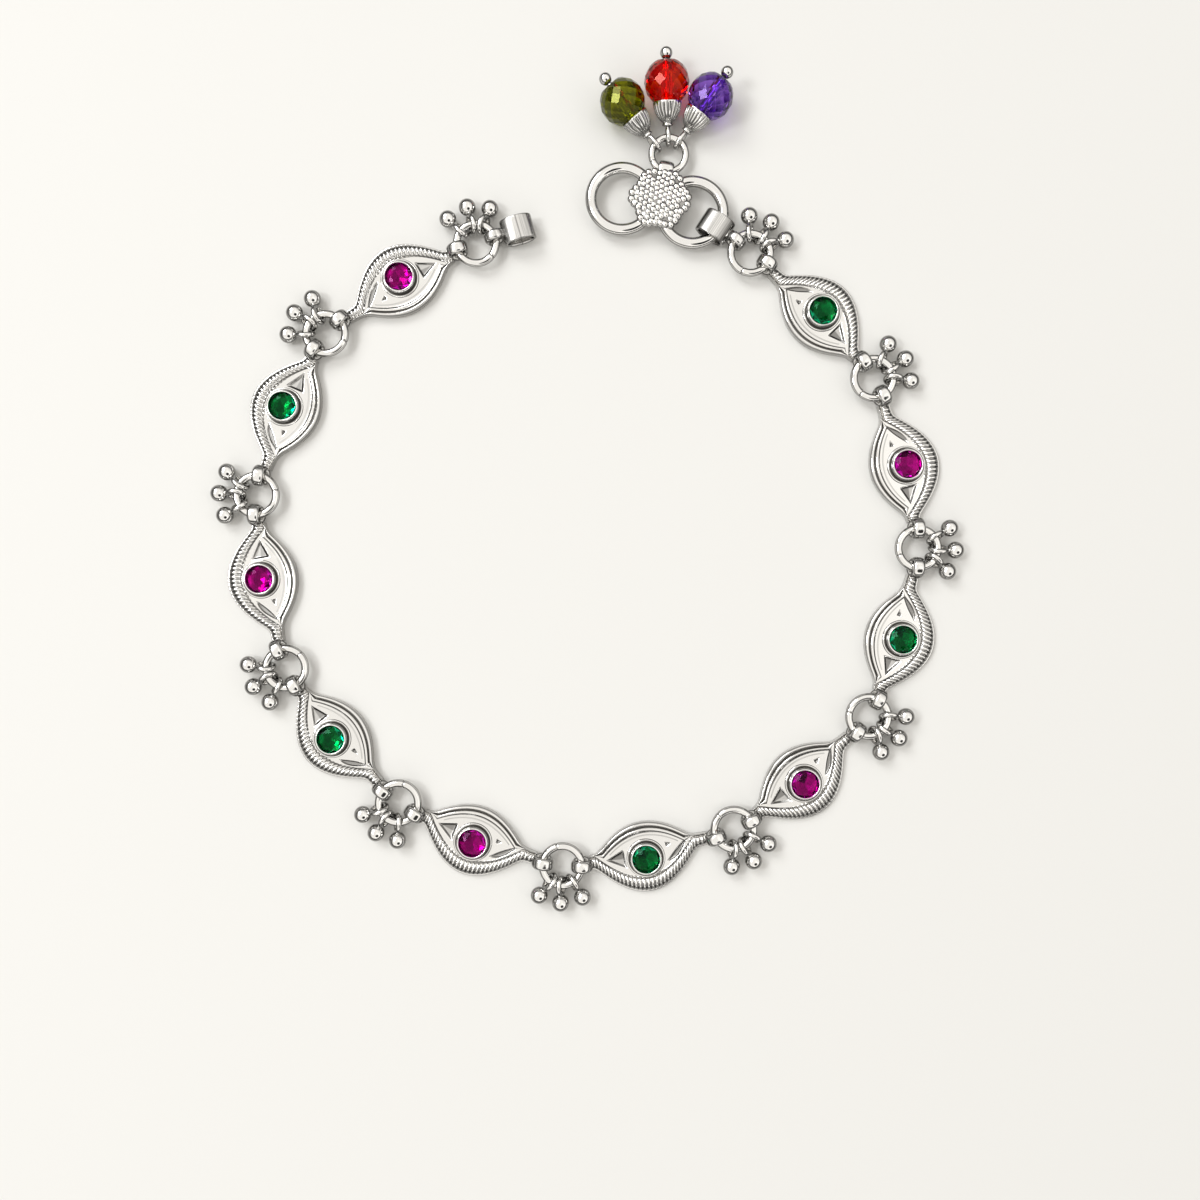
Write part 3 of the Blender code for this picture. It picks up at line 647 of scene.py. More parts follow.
# The bezel is a cup soldered into the field: a low outer ring, then the polished wall whose lip is
# rubbed over the stone. Its bright floor lights the stone from behind. Its inner wall is painted dark,
# as painted shade round the edge of the stone.
SEAT_RADIUS = 0.00182
BEZEL_TOP = 0.00190
BEZEL_SIDES = 64
BEZEL_PROFILE = (
    # share of the seat radius, share of the bezel's height, darkness: tarnish in the grooves, painted
    # shade on the inner wall
    (0.00, 0.30, 0.0),
    (0.60, 0.34, 0.0),
    # the inner wall behind the stone: painted shade round its edge
    (1.00, 0.62, 0.9),
    (1.00, 0.84, 0.9),
    (0.985, 0.92, 0.1),
    (1.02, 0.98, 0.0),
    (1.07, 1.00, 0.0),
    (1.13, 0.96, 0.0),
    (1.17, 0.86, 0.0),
    (1.18, 0.60, 0.6),
    (1.19, 0.48, 1.0),
    (1.24, 0.46, 0.9),
    (1.28, 0.52, 0.0),
    (1.35, 0.545, 0.0),
    (1.40, 0.52, 0.0),
    (1.43, 0.42, 0.6),
    (1.44, 0.30, 0.0),
    (0.00, 0.20, 0.0),
)

cast_silver = silver("cast_silver", gloss=0.08, grain=700, grain_depth=0.00002)
body_grid, body_tarnish = link_body()
loop_grid = rolled_loop(LOOP_HALF, LOOP_FLARE, LOOP_BORE, LOOP_WALL)
bezel_table = np.array(BEZEL_PROFILE)
bezel_profile = bezel_table[:, :2] * (SEAT_RADIUS, BEZEL_TOP)
bezel_grid = placed(turned(bezel_profile, BEZEL_SIDES), (BODY_SHIFT, BODY_OFFSET, 0))
# tarnish in the grooves and painted shade on the inner wall
bezel_tarnish_and_shade = np.repeat(bezel_table[:, 2], BEZEL_SIDES)
link_grounds = []
for number, node in enumerate(LINK_NODES):
    heading = link_headings[number]
    middle = (ring_centres[number] + ring_centres[number + 1]) / 2
    ground = (middle + polar(LOOP_OFFSET, heading + math.pi / 2)) * (1, 1, 0)
    link_grounds.append(ground)
    shells = [(*sheet(placed(body_grid, ground, heading)), body_tarnish)]
    for side in (-1, 1):
        spot = placed((side * LOOP_SPACING / 2, 0, ring_height), ground, heading)
        shells.append((*sheet(placed(loop_grid, spot, heading - side * LOOP_TURN), wrap_rows=True), 0.0))
    shells.append((*sheet(placed(bezel_grid, ground, heading)), bezel_tarnish_and_shade))
    piece(f"link_{number + 1:02d}", shells, cast_silver, node)


# Stones: round cut glass, green and magenta by turns, each with an eight-sided table, kite facets, a
# thin girdle and a cut back that throws the light up again.
STONE_NODES = [f"stone_{number:02d}" for number in range(1, 11)]
STONE_RADIUS = 0.00180
GIRDLE_LEVEL = 0.00168
STONE_RINGS = (
    # share of the radius, height above the girdle in metres, turn in half facets, for each ring
    (0.00, 0.00052, 0),
    (0.55, 0.00052, 0),
    (0.80, 0.00034, 1),
    (1.00, 0.00005, 0),
    (1.00, -0.00005, 0),
    (0.60, -0.00045, 1),
    (0.00, -0.00085, 0),
)
STONE_SIDES = 8
STONE_CLOUDS = 400
STONE_COLOURS = {
    # the colour where the light comes through, and in the depth
    "green_stone": ((0.01, 0.52, 0.23), (0.0, 0.20, 0.07)),
    "magenta_stone": ((0.80, 0.02, 0.56), (0.40, 0.0, 0.27)),
}
GLASS_BLEND = (0.75, 1.15)
FACET_WEIGHT = 0.9
# painted shade: the glass is darkened where its faces turn from the eye
EDGE_SHADE_BLEND = (0.35, 0.75)
EDGE_SHADE_DEPTH = 0.18
WHITE_GLINT = 0.28


def cut_stone():
    """Rings of corners from the table to the point of the back, some turned by half a facet.

    A ring's corners are at radius r and angle (k + turn / 2) of the facets' spacing.
    """
    table = np.array(STONE_RINGS)
    angle = 2 * math.pi * (np.arange(STONE_SIDES)[None, :] + table[:, 2:] / 2) / STONE_SIDES
    radius = STONE_RADIUS * table[:, :1]
    height = np.repeat(table[:, 1:2], STONE_SIDES, axis=1)
    return np.stack([radius * np.cos(angle), radius * np.sin(angle), height], axis=-1)


def facets(grid, turns):
    """Triangles between the rings of a cut stone, split along the way that each ring turns."""
    rows, columns = grid.shape[:2]
    index = np.arange(rows * columns).reshape(rows, columns)
    after = np.roll(index, -1, axis=1)
    triangles = []
    for row in range(rows - 1):
        if turns[row + 1] >= turns[row]:
            triangles += [np.stack([index[row], index[row + 1], after[row]], axis=-1),
                          np.stack([after[row], index[row + 1], after[row + 1]], axis=-1)]
        else:
            triangles += [np.stack([index[row], index[row + 1], after[row + 1]], axis=-1),
                          np.stack([index[row], after[row + 1], after[row]], axis=-1)]
    return grid.reshape(-1, 3), np.concatenate(triangles)


def coloured_glass(name, bright, deep, scale, bend=1.35):
    """Cut glass: two depths of its colour, by facet and in soft streaks, under a hard gloss.

    The share of the bright colour is the cloud plus weight x facet, brought to a range. Edges that
    turn from the eye are darkened as painted shade. What the surface throws back is partly white, the
    rest its colour.
    """
    made = bpy.data.materials.new(name)
    made.use_nodes = True
    tree = made.node_tree
    nodes = tree.nodes
    link = tree.links.new
    shader = nodes["Principled BSDF"]
    shader.inputs["Roughness"].default_value = 0.015
    shader.inputs["IOR"].default_value = bend
    shader.inputs["Transmission Weight"].default_value = 1.0
    shader.inputs["Specular IOR Level"].default_value = 0.4
    own = [WHITE_GLINT + (1 - WHITE_GLINT) * part / max(bright) for part in bright]
    shader.inputs["Specular Tint"].default_value = (*own, 1)
    place = nodes.new("ShaderNodeTexCoord")
    cloud = nodes.new("ShaderNodeTexNoise")
    cloud.inputs["Scale"].default_value = scale
    cloud.inputs["Detail"].default_value = 2.0
    link(place.outputs["Object"], cloud.inputs["Vector"])
    facet = nodes.new("ShaderNodeAttribute")
    facet.attribute_name = "facet"
    both = nodes.new("ShaderNodeMath")
    both.operation = "MULTIPLY_ADD"
    both.inputs[1].default_value = FACET_WEIGHT
    link(facet.outputs["Fac"], both.inputs[0])
    link(cloud.outputs["Fac"], both.inputs[2])
    colour = mixed(tree, spread(tree, both.outputs[0], *GLASS_BLEND), (*deep, 1), (*bright, 1))
    # painted shade at the edges that turn from the eye
    facing = nodes.new("ShaderNodeLayerWeight")
    edge_shade = spread(tree, facing.outputs["Facing"], *EDGE_SHADE_BLEND)
    painted_edge_shade = (*(EDGE_SHADE_DEPTH * part for part in deep), 1)
    link(mixed(tree, edge_shade, colour, painted_edge_shade), shader.inputs["Base Color"])
    return made


stone_glass = {slot: coloured_glass(f"{slot}_glass", *colours, scale=STONE_CLOUDS)
               for slot, colours in STONE_COLOURS.items()}
stone_grid = cut_stone()
stone_turns = [turn for _, _, turn in STONE_RINGS]
for number, node in enumerate(STONE_NODES):
    heading = link_headings[number]
    slot = "green_stone" if number % 2 == 0 else "magenta_stone"
    seat = placed((BODY_SHIFT, BODY_OFFSET, GIRDLE_LEVEL), link_grounds[number], heading)
    to_camera = Vector(camera.location) - Vector(seat)
    to_window = Vector(WINDOW_PLACE) - Vector(seat)
    between = to_camera.normalized() + to_window.normalized()
    stone_turn = math.atan2(between.y, between.x) - math.pi / STONE_SIDES
    shell = (*facets(placed(stone_grid, seat, stone_turn), stone_turns), 0.0)
    piece(f"cut_stone_{number + 1:02d}", [shell], stone_glass[slot], node, smooth=False)


# Ghungroo drops: three polished ball drops on each jump ring, every ball cast with a short neck and an
# oval wire eye that hangs over the ring.
DROP_NODES = [f"ghungroo_cluster_{number:02d}" for number in range(11)]
DROP_SWINGS = (12, 2, -2, -2, 6, 2, -1, 5, 4, 7, -17)
DROP_SPREAD = 35
BALL_RADIUS = 0.001165
BALL_REACH = 0.00505
BALL_ARC = math.radians(162)
BALL_NECK = 0.00034
BALL_TAIL = 0.00036
NECK_WAIST = 0.9
NECK_WAIST_PLACE = 0.4
NECK_FOOT = 1.1
BALL_SIDES = 40
BALL_ROWS = 26
FLOOR_GAP = 0.00004
EYE_WIRE = 0.00072
EYE_HALF = 0.00100
EYE_STRETCH = 0.00022
EYE_TILT = math.radians(20)
EYE_STEPS = 40
EYE_SIDES = 12
DROP_TILTS = (1, -1, 1)


def ball_profile(radius, neck, tail, rows=BALL_ROWS):
    """A ball as (radius, place) points: r sin a and r cos a, then a neck that reaches on by tail."""
    angle = np.linspace(0, BALL_ARC, rows)
    ball_rows = np.stack([radius * np.sin(angle), radius * np.cos(angle)], axis=-1)
    neck_rows = np.array([(neck, -radius), (neck * NECK_WAIST, -radius - tail * NECK_WAIST_PLACE),
                          (neck * NECK_FOOT, -radius - tail), (0, -radius - tail)])
    return np.concatenate([ball_rows, neck_rows])


def ball_drop(tilt):
    """A ball and neck along x, and an oval eye of wire round the jump ring at the origin.

    The eye is the oval x = (half + stretch) cos a, z = half sin a, leaning sideways by tilt.
    """
    grid = turned(ball_profile(BALL_RADIUS, BALL_NECK, BALL_TAIL), BALL_SIDES)[..., [2, 1, 0]]
    ball_grid = grid + (BALL_REACH - RING_RADIUS, 0, BALL_RADIUS - ring_height + FLOOR_GAP)
    around = np.linspace(0, 2 * math.pi, EYE_STEPS, endpoint=False)
    half_length = EYE_HALF + EYE_STRETCH * np.clip(np.cos(around), 0, 1)
    path = np.stack([half_length * np.cos(around), math.sin(tilt) * EYE_HALF * np.sin(around),
                     math.cos(tilt) * EYE_HALF * np.sin(around)], axis=-1)
    return ball_grid, wire_along(path, (0, math.cos(tilt), -math.sin(tilt)), EYE_WIRE / 2, EYE_SIDES)


ball_silver = silver("ball_silver", gloss=0.04, grain=500, grain_depth=0.00001)
drop_shapes = {tilt: ball_drop(tilt * EYE_TILT) for tilt in (-1, 1)}
for number, node in enumerate(DROP_NODES):
    shells = []
    for place, tilt in zip((-1, 0, 1), DROP_TILTS):
        heading = outward[number] + math.radians(DROP_SWINGS[number] + place * DROP_SPREAD)
        spot = ring_centres[number] + polar(RING_RADIUS, heading)
        ball_grid, eye_grid = drop_shapes[tilt]
        shells.append((*sheet(placed(ball_grid, spot, heading)), 0.0))
        shells.append((*sheet(placed(eye_grid, spot, heading), wrap_rows=True), 0.0))
    piece(f"drops_{number:02d}", shells, ball_silver, node)


# Straps: a flat silver band folded to a slot, brushed across its face, with a small rolled loop on the
# jump ring. One holds the clasp; the other waits at the free end.
STRAPS = (
    # node, its ring, the seat on the ring and the strap's heading in degrees, painted shade at the near
    # and far bend, and tarnish of the thin line between
    ("clasp_strap", 0, 140, 147, (0.60, 0.46, 0.0)),
    ("end_strap", 10, 20, 16, (0.10, 0.08, 0.85)),
)
STRAP_REACH = 0.003225
STRAP_HALF_LENGTH = 0.00220
STRAP_HALF_WIDTH = 0.00160
STRAP_HEIGHT = 0.00305
STRAP_WALL = 0.00045
STRAP_LOOP_HALF = 0.00068
STRAP_LOOP_FLARE = 0.00010
STRAP_STEPS = 240
STRAP_SIDES = 28
OVAL_POWER = 2.1
EDGE_POWER = 0.4
FACE_POWER = 0.16
FACE_TONE = 0.08
FACE_END = 0.84
# painted shade along the band: none at the bright place, rising towards each bend
BRIGHT_PLACE = -0.1
BEND_FADE = (0.12, 0.5)
STRAP_LINE_PLACE = 0.05
STRAP_LINE_HALF = 0.022


def folded_band():
    """A band round the y axis: the oval |x/a|^p + |z/b|^p = 1 with a flat, rounded section.

    The section lies along the path's own normal: its thickness is sin^edge and its width cos^face of
    the angle round it, each with its own sign.
    """
    turn = np.linspace(0, 2 * math.pi, STRAP_STEPS, endpoint=False)
    half_x = STRAP_HALF_LENGTH - STRAP_WALL / 2
    half_z = (STRAP_HEIGHT - STRAP_WALL) / 2
    path_x = half_x * np.sign(np.cos(turn)) * np.abs(np.cos(turn)) ** (2 / OVAL_POWER)
    path_z = half_z * np.sign(np.sin(turn)) * np.abs(np.sin(turn)) ** (2 / OVAL_POWER)
    ahead_x = np.roll(path_x, -1) - np.roll(path_x, 1)
    ahead_z = np.roll(path_z, -1) - np.roll(path_z, 1)
    length = np.hypot(ahead_x, ahead_z)
    section = np.linspace(0, 2 * math.pi, STRAP_SIDES, endpoint=False)
    out = STRAP_WALL / 2 * np.sign(np.sin(section)) * np.abs(np.sin(section)) ** EDGE_POWER
    side = STRAP_HALF_WIDTH * np.sign(np.cos(section)) * np.abs(np.cos(section)) ** FACE_POWER
    x = path_x[:, None] + (ahead_z / length)[:, None] * out[None, :]
    z = path_z[:, None] - (ahead_x / length)[:, None] * out[None, :]
    return np.stack([x, np.repeat(side[None, :], len(turn), axis=0), z], axis=-1)


def band_shade_and_tarnish(near_bend, far_bend, line):
    """Tarnish and painted shade round the band: a low tone, painted shade rising to each bend, and a thin
    line of tarnish as a narrow hump.
    """
    share = np.cos(np.linspace(0, 2 * math.pi, STRAP_STEPS, endpoint=False))
    away = np.abs(share - BRIGHT_PLACE)
    # painted shade rising to each bend, more at one bend than the other
    bends = FACE_TONE + np.where(share > 0, far_bend, near_bend) * ramp(away, *BEND_FADE)
    bends = bends * (np.abs(share) < FACE_END)
    return np.repeat(np.maximum(bends, line * swell(share, STRAP_LINE_PLACE, STRAP_LINE_HALF)), STRAP_SIDES)


band_grid = folded_band() + (STRAP_REACH, 0, STRAP_HEIGHT / 2)
strap_loop = rolled_loop(STRAP_LOOP_HALF, STRAP_LOOP_FLARE, LOOP_BORE, LOOP_WALL)
for node, ring, seat, degrees, bends in STRAPS:
    heading = math.radians(degrees)
    hook = ring_centres[ring] * (1, 1, 0) + polar(RING_RADIUS, math.radians(seat))
    loop_grid = placed(strap_loop, hook + (0, 0, ring_height), math.radians(seat))
    shells = [(*sheet(placed(band_grid, hook, heading), wrap_rows=True), band_shade_and_tarnish(*bends)),
              (*sheet(loop_grid, wrap_rows=True), 0.0)]
    brushed = silver(f"brushed_silver_{node}", gloss=0.14, grain=9000, grain_depth=0.000012,
                     stretch=(1, 60, 60), heading=heading, streaks=0.35)
    piece(f"{node}_band", shells, brushed, node)


# The clasp: two thick polished rings with a six-lobed flower plate soldered over their meeting, the
# plate set all over with small grains, and a short bail for the charm ring.
CLASP_RADIUS = 0.004125
CLASP_WIRE = 0.00155
CLASP_HEIGHT = 0.001525
CLASP_SPACING = 0.00957
CLASP_HEADING = math.radians(169)
CLASP_SLACK = 0.0005
CLASP_REACH = STRAP_REACH - CLASP_SLACK + CLASP_RADIUS
CLASP_SIDES = 24
FLOWER_RADIUS = 0.00400
FLOWER_LOBE = 0.00055
FLOWER_BASE = 0.00200
FLOWER_RISE = 0.00060
FLOWER_TURN = math.radians(-5)
FLOWER_LOBES = 6
FLOWER_ALONG = -0.00020
FLOWER_ASIDE = 0.00075
DOME_LIFT = 0.00053
DOME_INSET = 0.00034
DOME_FOOT = 0.00006
DOME_RIM = 0.97
DOME_ROWS = 14
DOME_STEPS = 120
DOME_TARNISH = 0.6
GRAIN_RADIUS = 0.00056
GRAIN_PITCH = 0.00071
GRAIN_TURN = 0.35
GRAIN_LIFT = 0.00009
GRAIN_MARGIN = 0.00048
GRAIN_SCATTER = 0.00005
GRAIN_SEED = 5
GRAIN_ROWS = 8
GRAIN_SIDES = 14
LATTICE_HALF = 7
EDGE_GRAINS = 32
EDGE_INSET = 0.00022
BAIL_REACH = 0.004133
BAIL_BORE = 0.000791
BAIL_HALF = 0.00100
BAIL_WALL = 0.00040
CHARM_HEADING = math.radians(79)
CHARM_LEVEL = 0.001325


def flower_edge(angle):
    """The plate's radius at an angle: full at the six lobes and one lobe depth less between them."""
    return FLOWER_RADIUS - FLOWER_LOBE * (1 - np.cos(FLOWER_LOBES * (angle - FLOWER_TURN))) / 2


def flower_dome():
    """A shallow dome over the lobed outline: height = lift + rise (1 - share^2), closed below."""
    rows = np.linspace(0, 1, DOME_ROWS)
    share = np.concatenate([rows, [1.0, DOME_RIM, 0.0]])[:, None]
    angle = np.linspace(0, 2 * math.pi, DOME_STEPS, endpoint=False)[None, :]
    height = np.concatenate([DOME_LIFT + FLOWER_RISE * (1 - rows**2), [DOME_FOOT, 0.0, 0.0]])
    radius = share * (flower_edge(angle) - DOME_INSET)
    return np.stack([radius * np.cos(angle), radius * np.sin(angle),
                     np.repeat(height[:, None], DOME_STEPS, axis=1)], axis=-1)


def flower_grains():
    """The middles of the grains: a hexagonal lattice cut to the outline, and a row along the edge.

    Their height is lift + rise (1 - (r / R)^2), and each is off its place by a small chance amount.
    """
    numbers = np.arange(-LATTICE_HALF, LATTICE_HALF + 1)
    row, column = np.meshgrid(numbers, numbers, indexing="ij")
    x = GRAIN_PITCH * (column + 0.5 * (row % 2))
    y = GRAIN_PITCH * math.sqrt(0.75) * row
    radius = np.hypot(x, y)
    angle = np.arctan2(y, x)
    inside = radius < flower_edge(angle) - GRAIN_MARGIN
    edge_angle = np.linspace(0, 2 * math.pi, EDGE_GRAINS, endpoint=False)
    edge_radius = flower_edge(edge_angle) - EDGE_INSET
    radius = np.concatenate([radius[inside], edge_radius])
    angle = np.concatenate([angle[inside] + GRAIN_TURN, edge_angle])
    height = GRAIN_LIFT + FLOWER_RISE * (1 - (radius / FLOWER_RADIUS) ** 2)
    scatter = np.random.default_rng(GRAIN_SEED).normal(0, GRAIN_SCATTER, (len(radius), 3))
    return np.stack([radius * np.cos(angle), radius * np.sin(angle), height], axis=-1) + scatter


clasp_centre = ring_centres[0] * (1, 1, 0) + polar(RING_RADIUS, math.radians(STRAPS[0][2]))
clasp_centre = clasp_centre + polar(CLASP_REACH, math.radians(STRAPS[0][3]))
flower_centre = clasp_centre + polar(CLASP_SPACING / 2 + FLOWER_ALONG, CLASP_HEADING)
flower_centre = flower_centre + polar(FLOWER_ASIDE, CLASP_HEADING - math.pi / 2)
clasp_grid, _ = ring_of_wire(CLASP_RADIUS, CLASP_WIRE, RING_STEPS, CLASP_SIDES)
shells = []
for centre in (clasp_centre, clasp_centre + polar(CLASP_SPACING, CLASP_HEADING)):
    shells.append((*sheet(clasp_grid + centre + (0, 0, CLASP_HEIGHT), wrap_rows=True), 0.0))
shells.append((*sheet(flower_dome() + flower_centre + (0, 0, FLOWER_BASE)), DOME_TARNISH))
grain_ball = turned(ball_profile(GRAIN_RADIUS, 0.0, 0.0, GRAIN_ROWS)[:GRAIN_ROWS], GRAIN_SIDES)
for spot in flower_grains():
    shells.append((*sheet(grain_ball + flower_centre + spot + (0, 0, FLOWER_BASE)), 0.0))
bail_grid = rolled_loop(BAIL_HALF, 0.0, BAIL_BORE, BAIL_WALL)
bail_spot = flower_centre + polar(BAIL_REACH, CHARM_HEADING, CHARM_LEVEL)
shells.append((*sheet(placed(bail_grid, bail_spot, CHARM_HEADING), wrap_rows=True), 0.0))
piece("clasp_body", shells, ball_silver, "double_ring_clasp")


# The charm ring: a round ring of thick wire in the bail, which holds the three charms.
CHARM_RING_RADIUS = 0.002275
CHARM_RING_WIRE = 0.00095
CHARM_RING_STEPS = 140
CHARM_RING_TURN = 0.4

charm_centre = middle_of("charm_ring")
ring_grid, ring_tarnish = ring_of_wire(CHARM_RING_RADIUS, CHARM_RING_WIRE, CHARM_RING_STEPS, RING_SIDES,
                                       SEAM_DEPTH)
charm_shell = (*sheet(placed(ring_grid, charm_centre, CHARM_RING_TURN), wrap_rows=True), ring_tarnish)
piece("charm_ring_wire", [charm_shell], wire_silver, "charm_ring")


# Charms: a ball-headed pin through a faceted crystal and a fluted bead cap, its wire turned to a long
# eye on the charm ring. The crystals are olive, red and purple glass.
CHARMS = (
    # name, seat on the charm ring and heading in degrees, flutes of the cap, turn of the crystal
    ("olive", 145, 131, 20, 5.2),
    ("red", 93, 92, 20, 23.4),
    ("purple", 50, 53, 22, 20.3),
)
CRYSTAL_RADIUS = 0.00300
CRYSTAL_END = 0.00255
CRYSTAL_END_SLACK = 0.05
CRYSTAL_SIDES = 12
CRYSTAL_CLOUDS = 300
CRYSTAL_BEND = 1.5
CRYSTAL_COLOURS = {
    "olive": ((0.40, 0.41, 0.0), (0.10, 0.11, 0.0)),
    "red": ((0.98, 0.06, 0.0), (0.70, 0.0, 0.0)),
    "purple": ((0.44, 0.20, 0.92), (0.15, 0.05, 0.40)),
}
PIN_WIRE = 0.00060
PIN_BORE = 0.00050
PIN_HEAD = 0.000825
PIN_NECK = 0.00045
PIN_LENGTH = 0.006809
PIN_EYE = 0.000975
PIN_EYE_STRETCH = 0.00050
PIN_START = 0.00030
PIN_SIDES = 20
PIN_EYE_STEPS = 48
PIN_EYE_SIDES = 14
PIN_HEAD_SIDES = 36
CRYSTAL_GAP = 0.00020
PIN_HEAD_REACH = PIN_LENGTH + CRYSTAL_END + CRYSTAL_GAP + PIN_HEAD
CAP_LENGTH = 0.00235
CAP_START = PIN_LENGTH - CRYSTAL_END - CRYSTAL_GAP - CAP_LENGTH
CHARM_SLOPE = math.asin((CRYSTAL_RADIUS - CHARM_LEVEL) / PIN_LENGTH)
CAP_PROFILE = (
    # place along the cap in millimetres, radius in millimetres, depth of the flutes, tarnish
    (-0.30, 0.40, 0.0, 0.0),
    (-0.34, 0.58, 0.0, 0.0),
    (-0.24, 0.72, 0.0, 0.0),
    (-0.08, 0.70, 0.0, 0.0),
    (0.04, 0.58, 0.0, 0.7),
    (0.20, 0.72, 0.3, 0.3),
    (0.50, 1.06, 0.8, 0.12),
    (0.90, 1.38, 1.0, 0.12),
    (1.40, 1.64, 1.0, 0.12),
    (1.90, 1.80, 1.0, 0.12),
    (2.30, 1.89, 0.8, 0.2),
    (2.48, 1.92, 0.0, 0.0),
    (2.62, 1.95, 0.0, 0.0),
    (2.70, 1.90, 0.0, 0.0),
    (2.68, 1.83, 0.0, 0.0),
    (2.30, 1.70, 0.0, 0.5),
    (1.00, 1.10, 0.0, 0.5),
    (0.20, 0.42, 0.0, 0.5),
)
FLUTE_DEPTH = 0.11
FLUTE_POWER = 4
FLUTE_STEPS = 8
FLUTE_TARNISH = 0.9


def crystal_rings():
    """The rings of a cut crystal as (radius, height), so that each diamond facet is flat.

    Going out from the middle ring, the next ring lies where the line from the last but one through
    the middle of the last ring's edges meets the sphere again.
    """
    bend = math.cos(math.pi / CRYSTAL_SIDES)
    rings = [(bend, -math.sin(math.acos(bend))), (1.0, 0.0), (bend, math.sin(math.acos(bend)))]
    while rings[-1][1] < CRYSTAL_END / CRYSTAL_RADIUS - CRYSTAL_END_SLACK:
        start = np.array(rings[-2])
        step = np.array([rings[-1][0] * bend, rings[-1][1]]) - start
        reach = -2 * (start @ step) / (step @ step)
        rings.append(tuple(start + reach * step))
    upper = np.array(rings[1:])
    return np.concatenate([upper[:0:-1] * (1, -1), upper]) * CRYSTAL_RADIUS


def crystal_shells(origin, heading, slope, spin):
    """A drilled crystal along x: flat diamonds between its rings, flat ends and a straight bore.

    A ring's corners lie at angle spin + (k + turn) of the sides' spacing, with turn 0 and 1/2 by turns.
    """
    rings = crystal_rings()
    count = len(rings)
    turn = (np.arange(count) - count // 2) % 2 / 2
    angle = spin + 2 * math.pi * (np.arange(CRYSTAL_SIDES)[None, :] + turn[:, None]) / CRYSTAL_SIDES
    radius = rings[:, :1]
    height = np.repeat(rings[:, 1:], CRYSTAL_SIDES, axis=1)
    grid = np.stack([height, radius * np.cos(angle), radius * np.sin(angle)], axis=-1)
    index = np.arange(count * CRYSTAL_SIDES).reshape(count, CRYSTAL_SIDES)
    diamonds = []
    for row in range(1, count - 1):
        first = np.roll(index[row - 1], -1) if turn[row - 1] == 0 else index[row - 1]
        second = np.roll(index[row + 1], -1) if turn[row + 1] == 0 else index[row + 1]
        diamonds.append(np.stack([first, index[row], second, np.roll(index[row], -1)], axis=-1))
    ends = []
    for row, inner in ((0, 1), (count - 1, count - 2)):
        tip = np.roll(index[inner], -1) if turn[inner] == 0 else index[inner]
        ends.append(np.stack([index[row], tip, np.roll(index[row], -1)], axis=-1))
    bore_rings = ((0, rings[0, 0]), (0, PIN_BORE), (-1, PIN_BORE), (-1, rings[-1, 0]))
    bore = np.stack([np.stack([0 * angle[row] + rings[row, 1], radius_at * np.cos(angle[row]),
                               radius_at * np.sin(angle[row])], axis=-1) for row, radius_at in bore_rings])
    flat = placed(grid.reshape(-1, 3), origin, heading, slope)
    return [(flat, np.concatenate(diamonds), 0.0), (flat, np.concatenate(ends), 0.0),
            (*sheet(placed(bore, origin, heading, slope)), 0.0)]


def cap_shell(flutes, origin, heading, slope):
    """A fluted bell along x, closed inside and dark in its flutes: radius = profile (1 - depth f).

    f is (1 + cos) / 2 of the flutes' angle, to a power that keeps the flutes narrow.
    """
    table = np.array(CAP_PROFILE)
    around = np.linspace(0, 2 * math.pi, flutes * FLUTE_STEPS, endpoint=False)[None, :]
    flute = (0.5 + 0.5 * np.cos(flutes * around)) ** FLUTE_POWER
    radius = table[:, 1:2] / 1000 * (1 - FLUTE_DEPTH * table[:, 2:3] * flute)
    x = np.repeat(table[:, :1] / 1000, around.shape[1], axis=1)
    tarnish_and_shade = np.clip(table[:, 3:] * (1 - table[:, 2:3]) + table[:, 2:3] * flute * FLUTE_TARNISH, 0, 1)
    grid = np.stack([x, radius * np.cos(around), radius * np.sin(around)], axis=-1)
    return (*sheet(placed(grid, origin, heading, slope), wrap_rows=True), tarnish_and_shade.ravel())


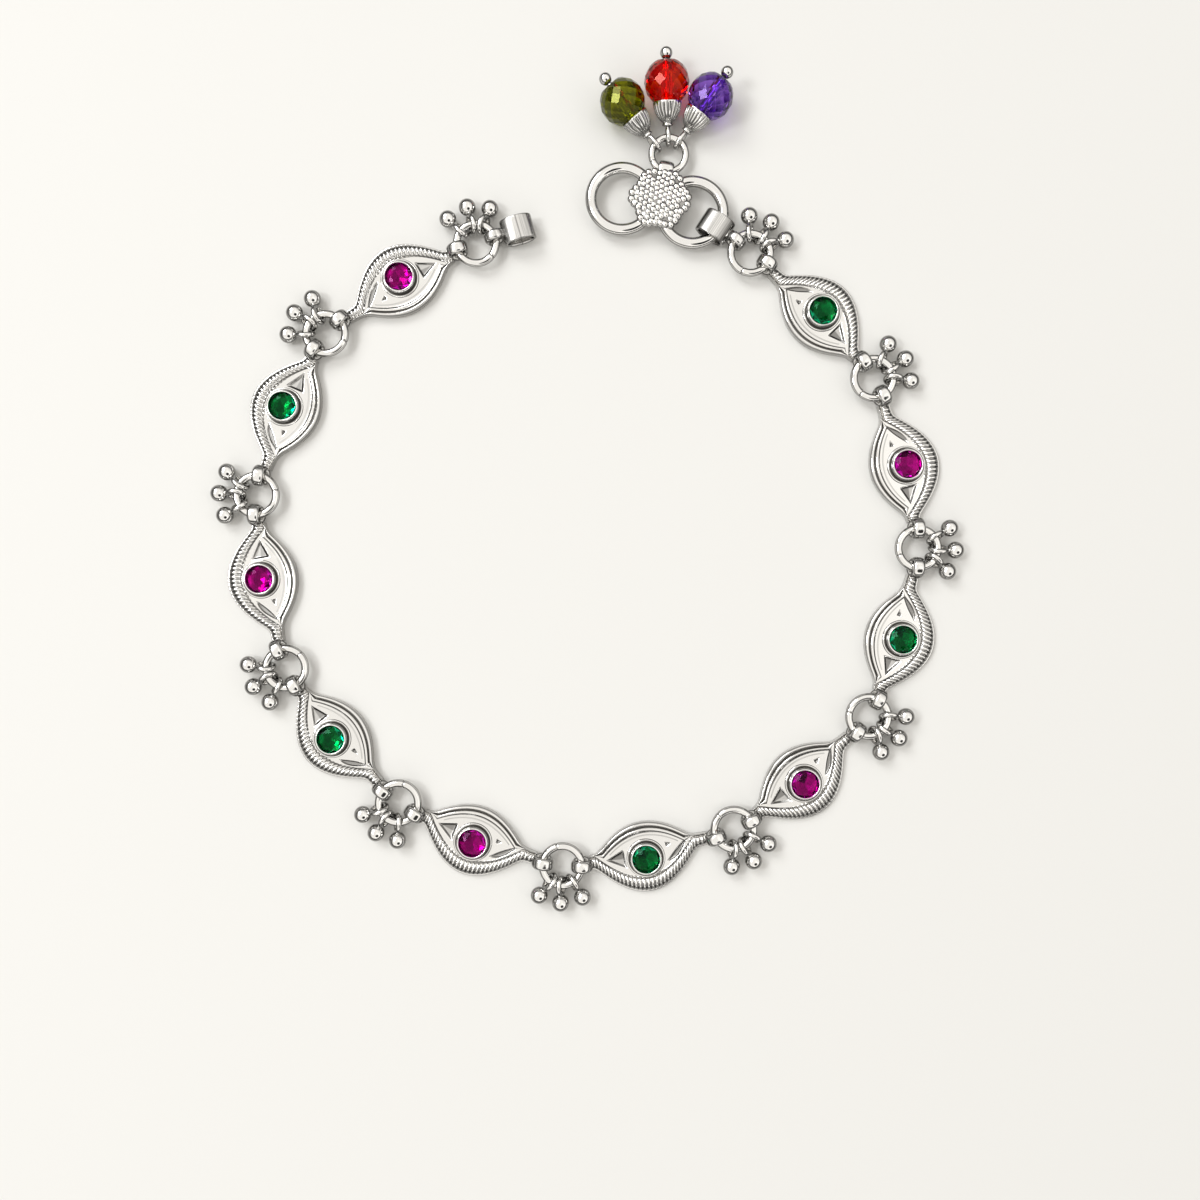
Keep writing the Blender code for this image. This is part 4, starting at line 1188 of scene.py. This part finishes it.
def pin_shells(origin, heading, slope):
    """A long wire eye round the charm ring at the origin, the straight pin and its ball head.

    The eye is a circle, stretched towards the pin by the square of the cosine.
    """
    around = np.linspace(0, 2 * math.pi, PIN_EYE_STEPS, endpoint=False)
    stretch = PIN_EYE_STRETCH * np.clip(np.cos(around), 0, 1) ** 2
    path = np.stack([(PIN_EYE + stretch) * np.cos(around), 0 * around, PIN_EYE * np.sin(around)], axis=-1)
    eye = wire_along(path, (0, 1, 0), PIN_WIRE / 2, PIN_EYE_SIDES)
    start = PIN_EYE + PIN_START
    wire = turned([(0, start), (PIN_WIRE / 2, start), (PIN_WIRE / 2, PIN_HEAD_REACH), (0, PIN_HEAD_REACH)],
                  PIN_SIDES)[..., [2, 1, 0]]
    head = turned(ball_profile(PIN_HEAD, PIN_NECK, PIN_NECK), PIN_HEAD_SIDES)[..., [2, 1, 0]]
    head = head + (PIN_HEAD_REACH, 0, 0)
    return [(*sheet(placed(eye, origin, heading, slope), wrap_rows=True), 0.0),
            (*sheet(placed(wire, origin, heading, slope)), 0.0),
            (*sheet(placed(head, origin, heading, slope)), 0.0)]


cap_silver = silver("cap_silver", gloss=0.12, grain=1200, grain_depth=0.00003)
for name, seat, degrees, flutes, spin in CHARMS:
    heading = math.radians(degrees)
    eye_spot = charm_centre + polar(CHARM_RING_RADIUS, math.radians(seat))
    axis = polar(math.cos(CHARM_SLOPE), heading, math.sin(CHARM_SLOPE))
    pin = pin_shells(eye_spot, heading, CHARM_SLOPE)
    piece(f"pin_{name}", pin, wire_silver, f"head_pin_{name}")
    cap = cap_shell(flutes, eye_spot + CAP_START * axis, heading, CHARM_SLOPE)
    piece(f"cap_{name}", [cap], cap_silver, f"bead_cap_{name}")
    glass = coloured_glass(f"{name}_crystal_glass", *CRYSTAL_COLOURS[name], CRYSTAL_CLOUDS, CRYSTAL_BEND)
    crystal = crystal_shells(eye_spot + PIN_LENGTH * axis, heading, CHARM_SLOPE, math.radians(spin))
    piece(f"crystal_{name}", crystal, glass, f"crystal_bead_{name}", smooth=False)
